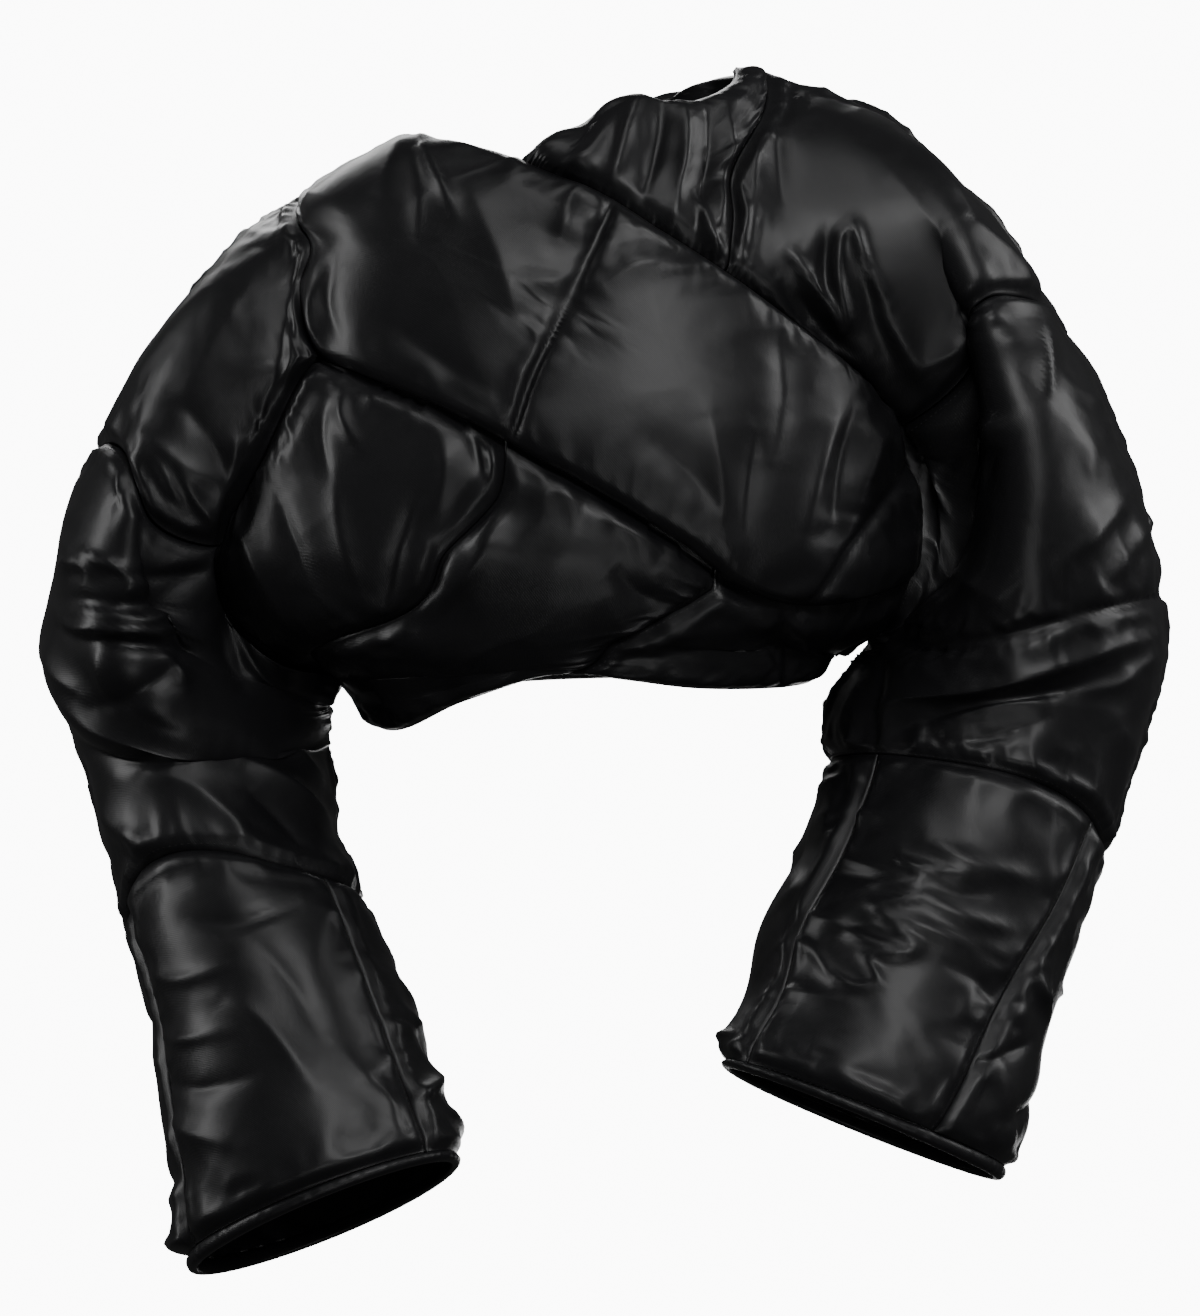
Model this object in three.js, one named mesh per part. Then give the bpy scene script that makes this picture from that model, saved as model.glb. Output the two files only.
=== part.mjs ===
// Cropped puffer jacket with a wrapped front and wide batwing sleeves, kept in the pose it is worn in.
// Millimetres, +Z up, front towards -Y. The origin is where the neckline rests on the wearer's shoulders.
import * as THREE from 'three';

// Wall of padded cloth: how thick it is where it is stitched down and how far it swells between seams
const SEAM_WALL = 4.5;
const TUCK_WALL = 2.8;
const PUFF = 9;
const SWELL = 19;
// Half of the 0.3 mm left between pieces that are sewn together
const HALF_GAP = 0.17;
// How far the wrap lies above the panels under it, and how deep their edges tuck under it
const WRAP_LIFT = 5.7;
const TUCK = 12;
const CUFF_LENGTH = 10;
const CUFF_SWELL = 3.5;
// Roundness of the body's level sections, 1 for a plain ellipse
const ROUND = 0.94;

// Body: a row for each level section, with its height, its reach to the wearer's right and left,
// and its depth in front of and behind the shoulder line
const BODY = [
  { z: 56, right: 60, left: 110, front: 44, back: 60 },
  { z: 38, right: 8, left: 127, front: 64, back: 68 },
  { z: 2, right: -75, left: 148, front: 88, back: 84 },
  { z: -32, right: -135, left: 166, front: 102, back: 95 },
  { z: -60, right: -166, left: 184, front: 114, back: 104 },
  { z: -130, right: -196, left: 206, front: 130, back: 116 },
  { z: -200, right: -212, left: 222, front: 140, back: 124 },
  { z: -250, right: -216, left: 226, front: 142, back: 125 },
  { z: -275, right: -206, left: 217, front: 136, back: 122 },
  { z: -290, right: -190, left: 198, front: 130, back: 118 },
  { z: -305, right: -164, left: 168, front: 122, back: 112 },
  { z: -318, right: -126, left: 163, front: 114, back: 106 },
  { z: -345, right: -106, left: 158, front: 108, back: 100 },
  { z: -375, right: -98, left: 152, front: 106, back: 98 },
];

// Seams and edges on the body: points [x, z] along each, seen from the front or the back, and the
// number of straight steps it is sewn in, the same for both pieces that meet there
const BODY_LINES = {
  shoulderRight: { steps: 5, points: [[-140, -34], [-124, -24], [-78, 2]] },
  shoulderLeft: { steps: 1, points: [[113, 45], [121, 42]] },
  neckWrap: { steps: 4, points: [[-78, 2], [-45, -12], [-16, -20]] },
  neckYoke: { steps: 9,
    points: [[-24, -26], [3, -3], [22, 5], [36, 17], [53, 22], [70, 19], [92, 22], [113, 45]] },
  neckBack: { face: 'back', steps: 15,
    points: [[-78, 2], [-46, -8], [-12, -10], [28, 12], [62, 42], [88, 49], [113, 45]] },
  wrapUpper: { steps: 24,
    points: [[-16, -19], [26, -38], [64, -61], [103, -86], [131, -106], [170, -137], [187, -155],
      [199, -173]] },
  wrapLowerRight: { steps: 7, points: [[-134, -136], [-113, -145], [-64, -166], [-20, -189]] },
  wrapLowerMiddle: { steps: 12, points: [[-20, -189], [15, -208], [58, -234], [105, -267]] },
  wrapLowerLeft: { steps: 9, points: [[105, -267], [126, -276], [152, -279], [186, -275], [217, -262]] },
  armholeRight1: { steps: 8, points: [[-142, -34], [-139, -64], [-143, -94], [-140, -120], [-134, -136]] },
  armholeRight2: { steps: 10,
    points: [[-134, -136], [-146, -152], [-160, -182], [-175, -214], [-190, -246]] },
  armholeRight3: { steps: 7,
    points: [[-190, -246], [-194, -270], [-183, -287], [-160, -304], [-130, -317]] },
  armholeLeft1: { steps: 9, points: [[121, 42], [113, -10], [108, -55], [104, -98]] },
  armholeLeft2: { steps: 10, points: [[104, -98], [128, -117], [164, -143], [187, -160], [203, -170]] },
  armholeLeft3: { steps: 13, points: [[203, -170], [214, -190], [219, -216], [220, -240], [217, -262]] },
  wrapEnd: { steps: 13, points: [[199, -173], [211, -192], [218, -216], [219.5, -240], [217, -262]] },
  armholeLeft4: { steps: 4, points: [[217, -262], [210, -279], [201, -290]] },
  armholeBackRight1: { face: 'back', steps: 8,
    points: [[-142, -34], [-138, -64], [-134, -100], [-136, -136]] },
  armholeBackRight2: { face: 'back', steps: 10,
    points: [[-136, -136], [-146, -170], [-162, -208], [-176, -244]] },
  armholeBackRight3: { face: 'back', steps: 7,
    points: [[-176, -244], [-178, -276], [-158, -302], [-130, -317]] },
  armholeBackLeft1: { face: 'back', steps: 7, points: [[121, 42], [110, -10], [106, -60], [112, -110]] },
  armholeBackLeft2: { face: 'back', steps: 10,
    points: [[112, -110], [132, -148], [160, -180], [188, -210]] },
  armholeBackLeft3: { face: 'back', steps: 6,
    points: [[188, -210], [202, -238], [208, -268], [201, -290]] },
  sideRight: { steps: 3, points: [[-134, -317], [-134, -330]] },
  sideLeft: { steps: 9, points: [[202, -290], [190, -306], [172, -323]] },
  diagonal: { steps: 10, points: [[-20, -189], [-26, -218], [-57, -251], [-92, -290], [-130, -317]] },
  lowerSeam: { steps: 13, points: [[105, -267], [72, -286], [36, -306], [15, -323]] },
  hemRight: { steps: 12,
    points: [[-134, -330], [-112, -352], [-86, -358], [-47, -340], [-10, -327], [15, -323]] },
  hemLeft: { steps: 9,
    points: [[15, -323], [50, -328], [90, -333], [134, -333], [158, -329], [175, -323]] },
  hemBack: { face: 'back', steps: 15,
    points: [[-134, -330], [-90, -338], [10, -336], [110, -334], [175, -323]] },
  yokeTuckSide: { steps: 10, points: [[-24, -26], [-18, -42], [-4, -56]] },
  yokeTuckFoot: { steps: 9, points: [[-4, -56], [50, -86], [104, -98]] },
};

// Sleeves: a row for each ring from the armhole to the cuff. The outer and inner points [x, z] are its
// edges seen from the front, y its middle's depth, front and back its half depths, bow how far its
// middle hangs towards the cuff, skew how much of that is near the inner edge, lean how much the front
// fills towards the outer edge, and rise how much higher its front is than its middle
const RIGHT_RINGS = [
  { outer: [-186, -66], inner: [-136, -331], y: 0, front: 97, back: 92,
    bow: 76, skew: 0.8, lean: 0, rise: 0 },
  { outer: [-235, -130], inner: [-141, -335], y: 4, front: 102, back: 95,
    bow: 72, skew: 0.5, lean: 0, rise: 0 },
  { outer: [-274, -199], inner: [-145, -341], y: 12, front: 106, back: 92,
    bow: 62, skew: 0.3, lean: 0, rise: 0 },
  { outer: [-293, -262], inner: [-147, -352], y: 20, front: 104, back: 86,
    bow: 44, skew: 0.2, lean: 0, rise: 0 },
  { outer: [-303, -307], inner: [-149, -370], y: 24, front: 98, back: 82,
    bow: 30, skew: 0, lean: 0, rise: 0 },
  { outer: [-284, -354], inner: [-145, -392], y: 14, front: 90, back: 82,
    bow: 18, skew: 0, lean: 0, rise: 4 },
  { outer: [-267, -406], inner: [-140, -426], y: -6, front: 82, back: 80,
    bow: 11, skew: 0, lean: 0, rise: 10 },
  { outer: [-246, -485], inner: [-122, -465], y: -40, front: 76, back: 74,
    bow: 7, skew: 0, lean: 0, rise: 14 },
  { outer: [-230, -538], inner: [-103, -510], y: -65, front: 71, back: 70,
    bow: 4, skew: 0, lean: 0, rise: 15 },
  { outer: [-222, -586], inner: [-83, -558], y: -86, front: 66, back: 66,
    bow: 2, skew: 0, lean: 0, rise: 16 },
  { outer: [-213, -634], inner: [-68, -593], y: -106, front: 61, back: 62,
    bow: 0, skew: 0, lean: 0, rise: 17 },
  { outer: [-208, -680], inner: [-55, -617], y: -122, front: 57, back: 58,
    bow: 0, skew: 0, lean: 0, rise: 18 },
];
const LEFT_RINGS = [
  { outer: [191, 14], inner: [206, -301], y: 0, front: 68, back: 90,
    bow: 60, skew: 0.8, lean: 0.5, rise: 0 },
  { outer: [239, -22], inner: [207, -305], y: 2, front: 88, back: 95,
    bow: 52, skew: 0.6, lean: 0.2, rise: 0 },
  { outer: [292, -89], inner: [207, -311], y: 8, front: 102, back: 94,
    bow: 46, skew: 0.3, lean: 0, rise: 0 },
  { outer: [336, -159], inner: [203, -319], y: 16, front: 106, back: 90,
    bow: 36, skew: 0.2, lean: 0, rise: 0 },
  { outer: [364, -237], inner: [196, -329], y: 22, front: 106, back: 86,
    bow: 26, skew: 0, lean: 0, rise: 0 },
  { outer: [373, -305], inner: [187, -344], y: 24, front: 100, back: 84,
    bow: 15, skew: 0, lean: 0, rise: 2 },
  { outer: [361, -355], inner: [182, -368], y: 14, front: 94, back: 84,
    bow: 8, skew: 0, lean: 0, rise: 4 },
  { outer: [344, -403], inner: [180, -395], y: 0, front: 88, back: 82,
    bow: 4, skew: 0, lean: 0, rise: 6 },
  { outer: [322, -465], inner: [166, -436], y: -26, front: 80, back: 76,
    bow: 2, skew: 0, lean: 0, rise: 8 },
  { outer: [301, -511], inner: [142, -483], y: -50, front: 74, back: 70,
    bow: 0, skew: 0, lean: 0, rise: 9 },
  { outer: [288, -546], inner: [132, -521], y: -70, front: 69, back: 66,
    bow: 0, skew: 0, lean: 0, rise: 9 },
  { outer: [280, -585], inner: [119, -544], y: -88, front: 64, back: 62,
    bow: 0, skew: 0, lean: 0, rise: 9 },
  { outer: [268, -627], inner: [109, -561], y: -103, front: 60, back: 58,
    bow: 0, skew: 0, lean: 0, rise: 9 },
];

const BOW_ROUND = 1.3;

const FABRIC = { color: 0x0b0b0d, roughness: 0.34, metalness: 0 };
const BINDING = { color: 0x09090b, roughness: 0.42, metalness: 0 };

const smooth = (from, to, x) => THREE.MathUtils.smoothstep(x, from, to);

// A value of a table at height z, by a smooth curve through its rows
function column(rows, key, z) {
  const last = rows.length - 1;
  let k = 0;
  while (k < last - 1 && z < rows[k + 1].z) k += 1;
  const f = THREE.MathUtils.clamp((rows[k].z - z) / (rows[k].z - rows[k + 1].z), 0, 1);
  const slope = (i) => {
    if (i === 0 || i === last) return 0;
    const before = (rows[i][key] - rows[i - 1][key]) / (rows[i - 1].z - rows[i].z);
    const after = (rows[i + 1][key] - rows[i][key]) / (rows[i].z - rows[i + 1].z);
    return before * after <= 0 ? 0 : 2 * before * after / (before + after);
  };
  const span = rows[k].z - rows[k + 1].z;
  const a = rows[k][key], b = rows[k + 1][key];
  const f2 = f * f, f3 = f2 * f;
  return a * (2 * f3 - 3 * f2 + 1) + b * (3 * f2 - 2 * f3)
    + span * (slope(k) * (f3 - 2 * f2 + f) + slope(k + 1) * (f3 - f2));
}

const signedPower = (value, power) => Math.sign(value) * Math.abs(value) ** power;

// The body's surface: angle 0 is the wearer's left side, a quarter turn the front, half a turn the
// wearer's right side and three quarters the back
const body = {
  place(angle, z) {
    const right = column(BODY, 'right', z), left = column(BODY, 'left', z);
    const s = signedPower(Math.sin(angle), ROUND), c = signedPower(Math.cos(angle), ROUND);
    const depth = s > 0 ? column(BODY, 'front', z) : column(BODY, 'back', z);
    return new THREE.Vector3((right + left) / 2 + c * (left - right) / 2, -s * depth, z);
  },
  // The angle at which a level section has this x, on the front or the back
  angleAt(x, z, face) {
    const right = column(BODY, 'right', z), left = column(BODY, 'left', z);
    const c = THREE.MathUtils.clamp((2 * x - right - left) / (left - right), -1, 1);
    const angle = Math.acos(signedPower(c, 1 / ROUND));
    return face === 'back' ? 2 * Math.PI - angle : angle;
  },
};

// The unit normal of a surface, from small steps along both of its directions; outward for the body
// and the sleeves, with the sign given
function normalOf(surface, a, b, stepA, stepB, sign) {
  const across = surface.place(a + stepA, b).sub(surface.place(a - stepA, b));
  const down = surface.place(a, b + stepB).sub(surface.place(a, b - stepB));
  return across.cross(down).normalize().multiplyScalar(sign);
}

body.normal = (angle, z) => normalOf(body, angle, z, 0.01, 1, -1);

// Points of a body line in (angle, z), spaced evenly along it
const ANGLE_SCALE = 180;
function bodyLine(name) {
  const { points, face = 'front', steps } = BODY_LINES[name];
  const flat = points.map(([x, z]) => new THREE.Vector2(body.angleAt(x, z, face) * ANGLE_SCALE, z));
  const curve = flat.length === 2 ? new THREE.LineCurve(flat[0], flat[1]) : new THREE.SplineCurve(flat);
  return { curve, steps };
}

const bodyPoints = (name) => {
  const { curve, steps } = bodyLine(name);
  return Array.from({ length: steps + 1 }, (_, i) => {
    const p = curve.getPointAt(i / steps);
    return new THREE.Vector2(p.x / ANGLE_SCALE, p.y);
  });
};

// Lines joined end to end into one side of a piece
const chain = (...parts) => parts.reduce((all, part) => all.concat(all.length ? part.slice(1) : part), []);
const reversed = (points) => points.slice().reverse();
const straight = (from, to, steps) => Array.from({ length: steps + 1 }, (_, i) => (
  new THREE.Vector2(...from).lerp(new THREE.Vector2(...to), i / steps)));

// The same points of the wearer's left side, met from the back, a whole turn on
const fromBack = (points) => points.map((p) => new THREE.Vector2(2 * Math.PI, p.y));

// A smooth line through rows of (along, round) on a sleeve
const SLEEVE_SCALE = new THREE.Vector2(50, 250);
function sleeveLine(rows, steps) {
  const curve = new THREE.SplineCurve(rows.map((row) => new THREE.Vector2(...row).multiply(SLEEVE_SCALE)));
  return Array.from({ length: steps + 1 }, (_, i) => curve.getPointAt(i / steps).divide(SLEEVE_SCALE));
}

// A sleeve's surface: along runs from 0 at the armhole, one for each ring, and round from 0 at the
// outer edge over the front to 1 at the inner edge and over the back to 2
function sleeve({ rings, armhole, sign, valleys }) {
  const curves = armhole.map(({ name, from, to }) => ({ curve: bodyLine(name).curve, from, to }));
  const ring0 = (round) => {
    const r = ((round % 2) + 2) % 2;
    const part = curves.find(({ from, to }) => (r - from) * (r - to) <= 1e-12);
    const p = part.curve.getPointAt(THREE.MathUtils.clamp((r - part.from) / (part.to - part.from), 0, 1));
    return new THREE.Vector2(p.x / ANGLE_SCALE, p.y);
  };
  const ringPlace = (k, round) => {
    if (k <= 0) {
      const p = ring0(round);
      return body.place(p.x, p.y);
    }
    const row = rings[Math.min(k, rings.length) - 1];
    const c = Math.cos(Math.PI * round), s = Math.sin(Math.PI * round);
    const outer = new THREE.Vector2(...row.outer), inner = new THREE.Vector2(...row.inner);
    const half = outer.clone().sub(inner).divideScalar(2);
    const towardCuff = new THREE.Vector2(-half.y, half.x).normalize().multiplyScalar(sign);
    const p = outer.add(inner).divideScalar(2).addScaledVector(half, c);
    p.addScaledVector(towardCuff, row.bow * Math.abs(s) ** BOW_ROUND * (1 - row.skew * c));
    const depth = s > 0 ? row.front * s * (1 + row.lean * c) : row.back * s;
    return new THREE.Vector3(p.x, row.y - depth, p.y + row.rise * s);
  };
  const surface = {
    place(along, round) {
      const p = surface.smoothPlace(along, round);
      for (const valley of valleys) {
        const s = along / valley.along, edge = Math.sin(Math.PI * round) ** 2;
        const near = Math.exp(-(((round - valley.round) / valley.reach) ** 2));
        p.y += valley.deep * s * Math.exp(1 - s) * near * edge;
      }
      return p;
    },
    smoothPlace(along, round) {
      const k = THREE.MathUtils.clamp(Math.floor(along), 0, rings.length - 1);
      const f = along - k;
      const p1 = ringPlace(k, round), p2 = ringPlace(k + 1, round);
      const p0 = k > 0 ? ringPlace(k - 1, round) : p1.clone().multiplyScalar(2).sub(p2);
      const p3 = k + 1 < rings.length ? ringPlace(k + 2, round) : p2.clone().multiplyScalar(2).sub(p1);
      const spline = (a, b, c, d) => (b + 0.5 * f * (c - a + f * (2 * a - 5 * b + 4 * c - d
        + f * (3 * (b - c) + d - a))));
      return new THREE.Vector3(spline(p0.x, p1.x, p2.x, p3.x), spline(p0.y, p1.y, p2.y, p3.y),
        spline(p0.z, p1.z, p2.z, p3.z));
    },
    // At the armhole the sleeve's wall stands the same way as the body's, so that the two meet
    normal(along, round) {
      const own = normalOf(surface, Math.max(along, 0.06), round, 0.05, 0.01, sign);
      const blend = smooth(0, 0.5, along);
      if (blend >= 1) return own;
      const p = ring0(round);
      return body.normal(p.x, p.y).lerp(own, blend).normalize();
    },
    armholePoints(name) {
      const { from, to } = armhole.find((part) => part.name === name);
      return straight([0, from], [0, to], BODY_LINES[name].steps);
    },
  };
  return surface;
}

// Fills four sides, each a list of points, by the mean of the two ways across less the corners' own
function fill({ top, bottom, left, right }) {
  const nu = top.length - 1, nv = left.length - 1;
  return left.map((_, j) => top.map((__, i) => {
    const u = i / nu, v = j / nv;
    const p = top[i].clone().multiplyScalar(1 - v).addScaledVector(bottom[i], v);
    p.addScaledVector(left[j], 1 - u).addScaledVector(right[j], u);
    p.addScaledVector(top[0], -(1 - u) * (1 - v)).addScaledVector(top[nu], -u * (1 - v));
    return p.addScaledVector(bottom[0], -(1 - u) * v).addScaledVector(bottom[nu], -u * v);
  }));
}

// How far a padded wall has swelled at a distance from a stitched line, 0 to 1
const swell = (distance) => 1 - Math.exp(-((Math.max(distance, 0) / SWELL) ** 2));

// Distance in (u, v), stretched to the piece's size, from a point to a straight line between two others
function lineDistance(u, v, line, wide, high) {
  const p = new THREE.Vector2(u * wide, v * high);
  const a = new THREE.Vector2(line.from[0] * wide, line.from[1] * high);
  const b = new THREE.Vector2(line.to[0] * wide, line.to[1] * high);
  const f = THREE.MathUtils.clamp(p.clone().sub(a).dot(b.clone().sub(a)) / b.distanceToSquared(a), 0, 1);
  return { distance: p.distanceTo(a.lerp(b, f)), along: f };
}

// How far a place lies outside the wrap's long edges, seen from the front; below 0 it is under the wrap
const WRAP_EDGES = {
  upper: [...BODY_LINES.neckWrap.points, ...BODY_LINES.wrapUpper.points.slice(1)],
  lower: [...BODY_LINES.wrapLowerRight.points, ...BODY_LINES.wrapLowerMiddle.points.slice(1),
    ...BODY_LINES.wrapLowerLeft.points.slice(1)],
};
const WRAP_END = 208;
const EDGE_SLOPE = 0.85;
function clearOfWrap(p) {
  const heightAt = (points) => {
    const x = THREE.MathUtils.clamp(p.x, points[0][0], points.at(-1)[0]);
    const k = Math.max(1, points.findIndex((point) => point[0] >= x));
    return THREE.MathUtils.mapLinear(x, points[k - 1][0], points[k][0], points[k - 1][1], points[k][1]);
  };
  const beyond = Math.max(p.z - heightAt(WRAP_EDGES.upper), heightAt(WRAP_EDGES.lower) - p.z);
  return Math.max(beyond * EDGE_SLOPE, p.x - WRAP_END, p.y);
}

// Outer height of the wall over the grid: swelling between the sides and quilt lines, with the largest
// folds as soft ridges (high above 0) or troughs (below 0), and flat where it lies under the wrap
const FLAT_MARGIN = 3;
function wallHeights(places, { quilts = [], folds = [], puff = PUFF, open = {}, underWrap = false }) {
  const nv = places.length - 1, nu = places[0].length - 1;
  const wide = places.reduce((sum, row) => sum + row[0].distanceTo(row[nu]), 0) / (nv + 1);
  const high = places[0].reduce((sum, p, i) => sum + p.distanceTo(places[nv][i]), 0) / (nu + 1);
  return places.map((row, j) => row.map((p, i) => {
    const u = i / nu, v = j / nv;
    const sides = {
      left: p.distanceTo(row[0]), right: p.distanceTo(row[nu]),
      top: p.distanceTo(places[0][i]), bottom: p.distanceTo(places[nv][i]),
    };
    const clear = underWrap ? clearOfWrap(p) - FLAT_MARGIN : Infinity;
    let filled = swell(clear);
    for (const [side, distance] of Object.entries(sides)) filled *= swell(distance * (open[side] || 1));
    for (const line of quilts) filled *= swell(lineDistance(u, v, line, wide, high).distance);
    let height = (clear < 0 ? TUCK_WALL : SEAM_WALL) + puff * filled;
    for (const fold of folds) {
      const { distance, along } = lineDistance(u, v, fold, wide, high);
      const reach = Math.sin(Math.PI * THREE.MathUtils.clamp(along, 0.08, 0.92));
      height += fold.high * reach * Math.exp(-((distance / fold.wide) ** 2)) * Math.min(1, filled * 1.6);
    }
    return Math.max(height, TUCK_WALL);
  }));
}

// A closed wall between an inner and an outer sheet over the same grid. A closed ring has no ends
function wallGeometry(inner, outer, ring) {
  const nv = inner.length - 1, nu = inner[0].length - (ring ? 0 : 1);
  const columns = inner[0].length;
  const positions = [...inner.flat(), ...outer.flat()].flatMap((p) => p.toArray());
  const index = (sheet, j, i) => sheet * inner.length * columns + j * columns + (i % columns);
  const triangles = [];
  const quad = (a, b, c, d) => triangles.push(a, b, c, a, c, d);
  for (let j = 0; j < nv; j += 1) {
    for (let i = 0; i < nu; i += 1) {
      quad(index(1, j, i), index(1, j + 1, i), index(1, j + 1, i + 1), index(1, j, i + 1));
      quad(index(0, j, i), index(0, j, i + 1), index(0, j + 1, i + 1), index(0, j + 1, i));
    }
  }
  for (let i = 0; i < nu; i += 1) {
    quad(index(0, 0, i), index(1, 0, i), index(1, 0, i + 1), index(0, 0, i + 1));
    quad(index(1, nv, i), index(0, nv, i), index(0, nv, i + 1), index(1, nv, i + 1));
  }
  for (let j = 0; j < nv && !ring; j += 1) {
    quad(index(1, j, 0), index(0, j, 0), index(0, j + 1, 0), index(1, j + 1, 0));
    quad(index(0, j, nu), index(1, j, nu), index(1, j + 1, nu), index(0, j + 1, nu));
  }
  const geometry = new THREE.BufferGeometry();
  geometry.setAttribute('position', new THREE.Float32BufferAttribute(positions, 3));
  geometry.setIndex(triangles);
  return geometry;
}

// The volume inside a closed mesh, below 0 where its faces point inwards
function volumeOf(geometry) {
  const at = geometry.getAttribute('position'), index = geometry.getIndex();
  const p = [0, 1, 2].map(() => new THREE.Vector3());
  let sum = 0;
  for (let i = 0; i < index.count; i += 3) {
    p.forEach((corner, k) => corner.fromBufferAttribute(at, index.getX(i + k)));
    sum += p[0].dot(p[1].clone().cross(p[2])) / 6;
  }
  return sum;
}

function faceOut(geometry) {
  if (volumeOf(geometry) < 0) {
    const index = geometry.getIndex();
    for (let i = 0; i < index.count; i += 3) {
      const b = index.getX(i + 1);
      index.setX(i + 1, index.getX(i + 2));
      index.setX(i + 2, b);
    }
  }
  geometry.computeVertexNormals();
  return geometry;
}

// Draws a piece's outline in from its seams by half of the gap left there, or more where seams bend
function drawIn(places, slack = 1) {
  const nv = places.length - 1, nu = places[0].length - 1;
  const moved = places.map((row) => row.map((p) => p.clone()));
  const toward = (j, i, jIn, iIn) => {
    const way = places[jIn][iIn].clone().sub(places[j][i]);
    moved[j][i].addScaledVector(way.normalize(), HALF_GAP * 1.4 * slack);
  };
  for (let i = 0; i <= nu; i += 1) {
    toward(0, i, 1, i);
    toward(nv, i, nv - 1, i);
  }
  for (let j = 0; j <= nv; j += 1) {
    toward(j, 0, j, 1);
    toward(j, nu, j, nu - 1);
  }
  return moved;
}

const jacket = new THREE.Group();

function addMesh(name, geometry, finish) {
  const mesh = new THREE.Mesh(faceOut(geometry), new THREE.MeshStandardMaterial(finish));
  mesh.name = name;
  jacket.add(mesh);
}

// A sewn piece: its four sides on a surface, filled, given its wall and lifted where it lies on others
function addPanel(name, surface, sides, options = {}) {
  const grid = fill(sides);
  const nv = grid.length - 1, nu = grid[0].length - 1;
  const places = drawIn(grid.map((row) => row.map((p) => surface.place(p.x, p.y))), options.slack);
  const normals = grid.map((row) => row.map((p) => surface.normal(p.x, p.y)));
  const heights = wallHeights(places, options);
  const lift = options.lift || (() => 0);
  const sheet = (extra) => places.map((row, j) => row.map((p, i) => (
    p.clone().addScaledVector(normals[j][i], lift(i / nu, j / nv) + extra(j, i)))));
  addMesh(name, wallGeometry(sheet(() => 0), sheet((j, i) => heights[j][i]), false), FABRIC);
}

// Moves a side's points into the neighbouring piece by a depth that varies along it, towards a place
function tuckedUnder(points, toward, depth) {
  return points.map((p, i) => {
    const at = body.place(p.x, p.y);
    const way = new THREE.Vector2(toward[0], toward[1]).sub(p);
    const ahead = p.clone().addScaledVector(way, 0.01);
    const unit = 0.01 / at.distanceTo(body.place(ahead.x, ahead.y));
    return p.clone().addScaledVector(way, unit * depth(i / (points.length - 1)));
  });
}

// The wrap: from the wearer's right armhole and shoulder across the front to the left armhole. It is
// sewn at both ends and lies on the other panels between them
const wrapLift = (u, v) => {
  const sewnLeft = smooth(0.92, 1, u) * smooth(-0.02, 0.18, v);
  return WRAP_LIFT * smooth(0, 0.1, u) * (1 - sewnLeft);
};
addPanel('front_wrap', body, {
  top: chain(bodyPoints('neckWrap'), bodyPoints('wrapUpper')),
  bottom: chain(bodyPoints('wrapLowerRight'), bodyPoints('wrapLowerMiddle'), bodyPoints('wrapLowerLeft')),
  left: chain(reversed(bodyPoints('shoulderRight')), bodyPoints('armholeRight1')),
  right: bodyPoints('wrapEnd'),
}, {
  lift: wrapLift,
  open: { top: 2, bottom: 2.2, right: 0.6 },
  quilts: [{ from: [0.35, 0], to: [0.25, 1] }, { from: [0.98, 0], to: [0.83, 1] }],
  folds: [
    { from: [0.02, 0.03], to: [0.13, 0.45], wide: 9, high: 4 },
    { from: [0.01, 0.1], to: [0.05, 0.7], wide: 9, high: 3 },
    { from: [0.9, 0.1], to: [0.82, 0.85], wide: 12, high: -4 },
    { from: [0.86, 0.1], to: [0.76, 0.8], wide: 12, high: 4 },
  ],
});

// The first point of a seam, moved to where the tucked edge beside it ends
function tuckedStart(points, edge) {
  const end = bodyPoints(edge).at(-1);
  const moved = points.slice();
  moved[0] = tuckedUnder([end, end], [1.9, -60], () => TUCK)[0];
  return moved;
}

// The panels under the wrap's lower edge: right, centre and left
const rampIn = (u) => TUCK * smooth(0.32, 0.6, u);
const rampOut = (u) => TUCK * (1 - smooth(0.5, 0.72, u));
addPanel('front_lower_right', body, {
  top: tuckedUnder(bodyPoints('wrapLowerRight'), [1.9, -60], rampIn),
  bottom: bodyPoints('armholeRight3'),
  left: bodyPoints('armholeRight2'),
  right: tuckedStart(bodyPoints('diagonal'), 'wrapLowerRight'),
}, { underWrap: true });

addPanel('front_lower_centre', body, {
  top: tuckedUnder(bodyPoints('wrapLowerMiddle'), [1.9, -60], () => TUCK),
  bottom: bodyPoints('hemRight'),
  left: chain(tuckedStart(bodyPoints('diagonal'), 'wrapLowerRight'), bodyPoints('sideRight')),
  right: tuckedStart(bodyPoints('lowerSeam'), 'wrapLowerMiddle'),
}, { underWrap: true, open: { bottom: 1.8 } });

addPanel('front_lower_left', body, {
  top: tuckedUnder(bodyPoints('wrapLowerLeft'), [1.9, -60], rampOut),
  bottom: bodyPoints('hemLeft'),
  left: tuckedStart(bodyPoints('lowerSeam'), 'wrapLowerMiddle'),
  right: chain(bodyPoints('armholeLeft4'), bodyPoints('sideLeft')),
}, { underWrap: true, open: { bottom: 1.8 }, quilts: [{ from: [0.62, 0.1], to: [0.66, 1] }] });

addPanel('front_left_yoke', body, {
  top: bodyPoints('neckYoke'),
  bottom: bodyPoints('yokeTuckFoot'),
  left: bodyPoints('yokeTuckSide'),
  right: chain(bodyPoints('shoulderLeft'), bodyPoints('armholeLeft1')),
}, { underWrap: true, open: { top: 2 } });

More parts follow.
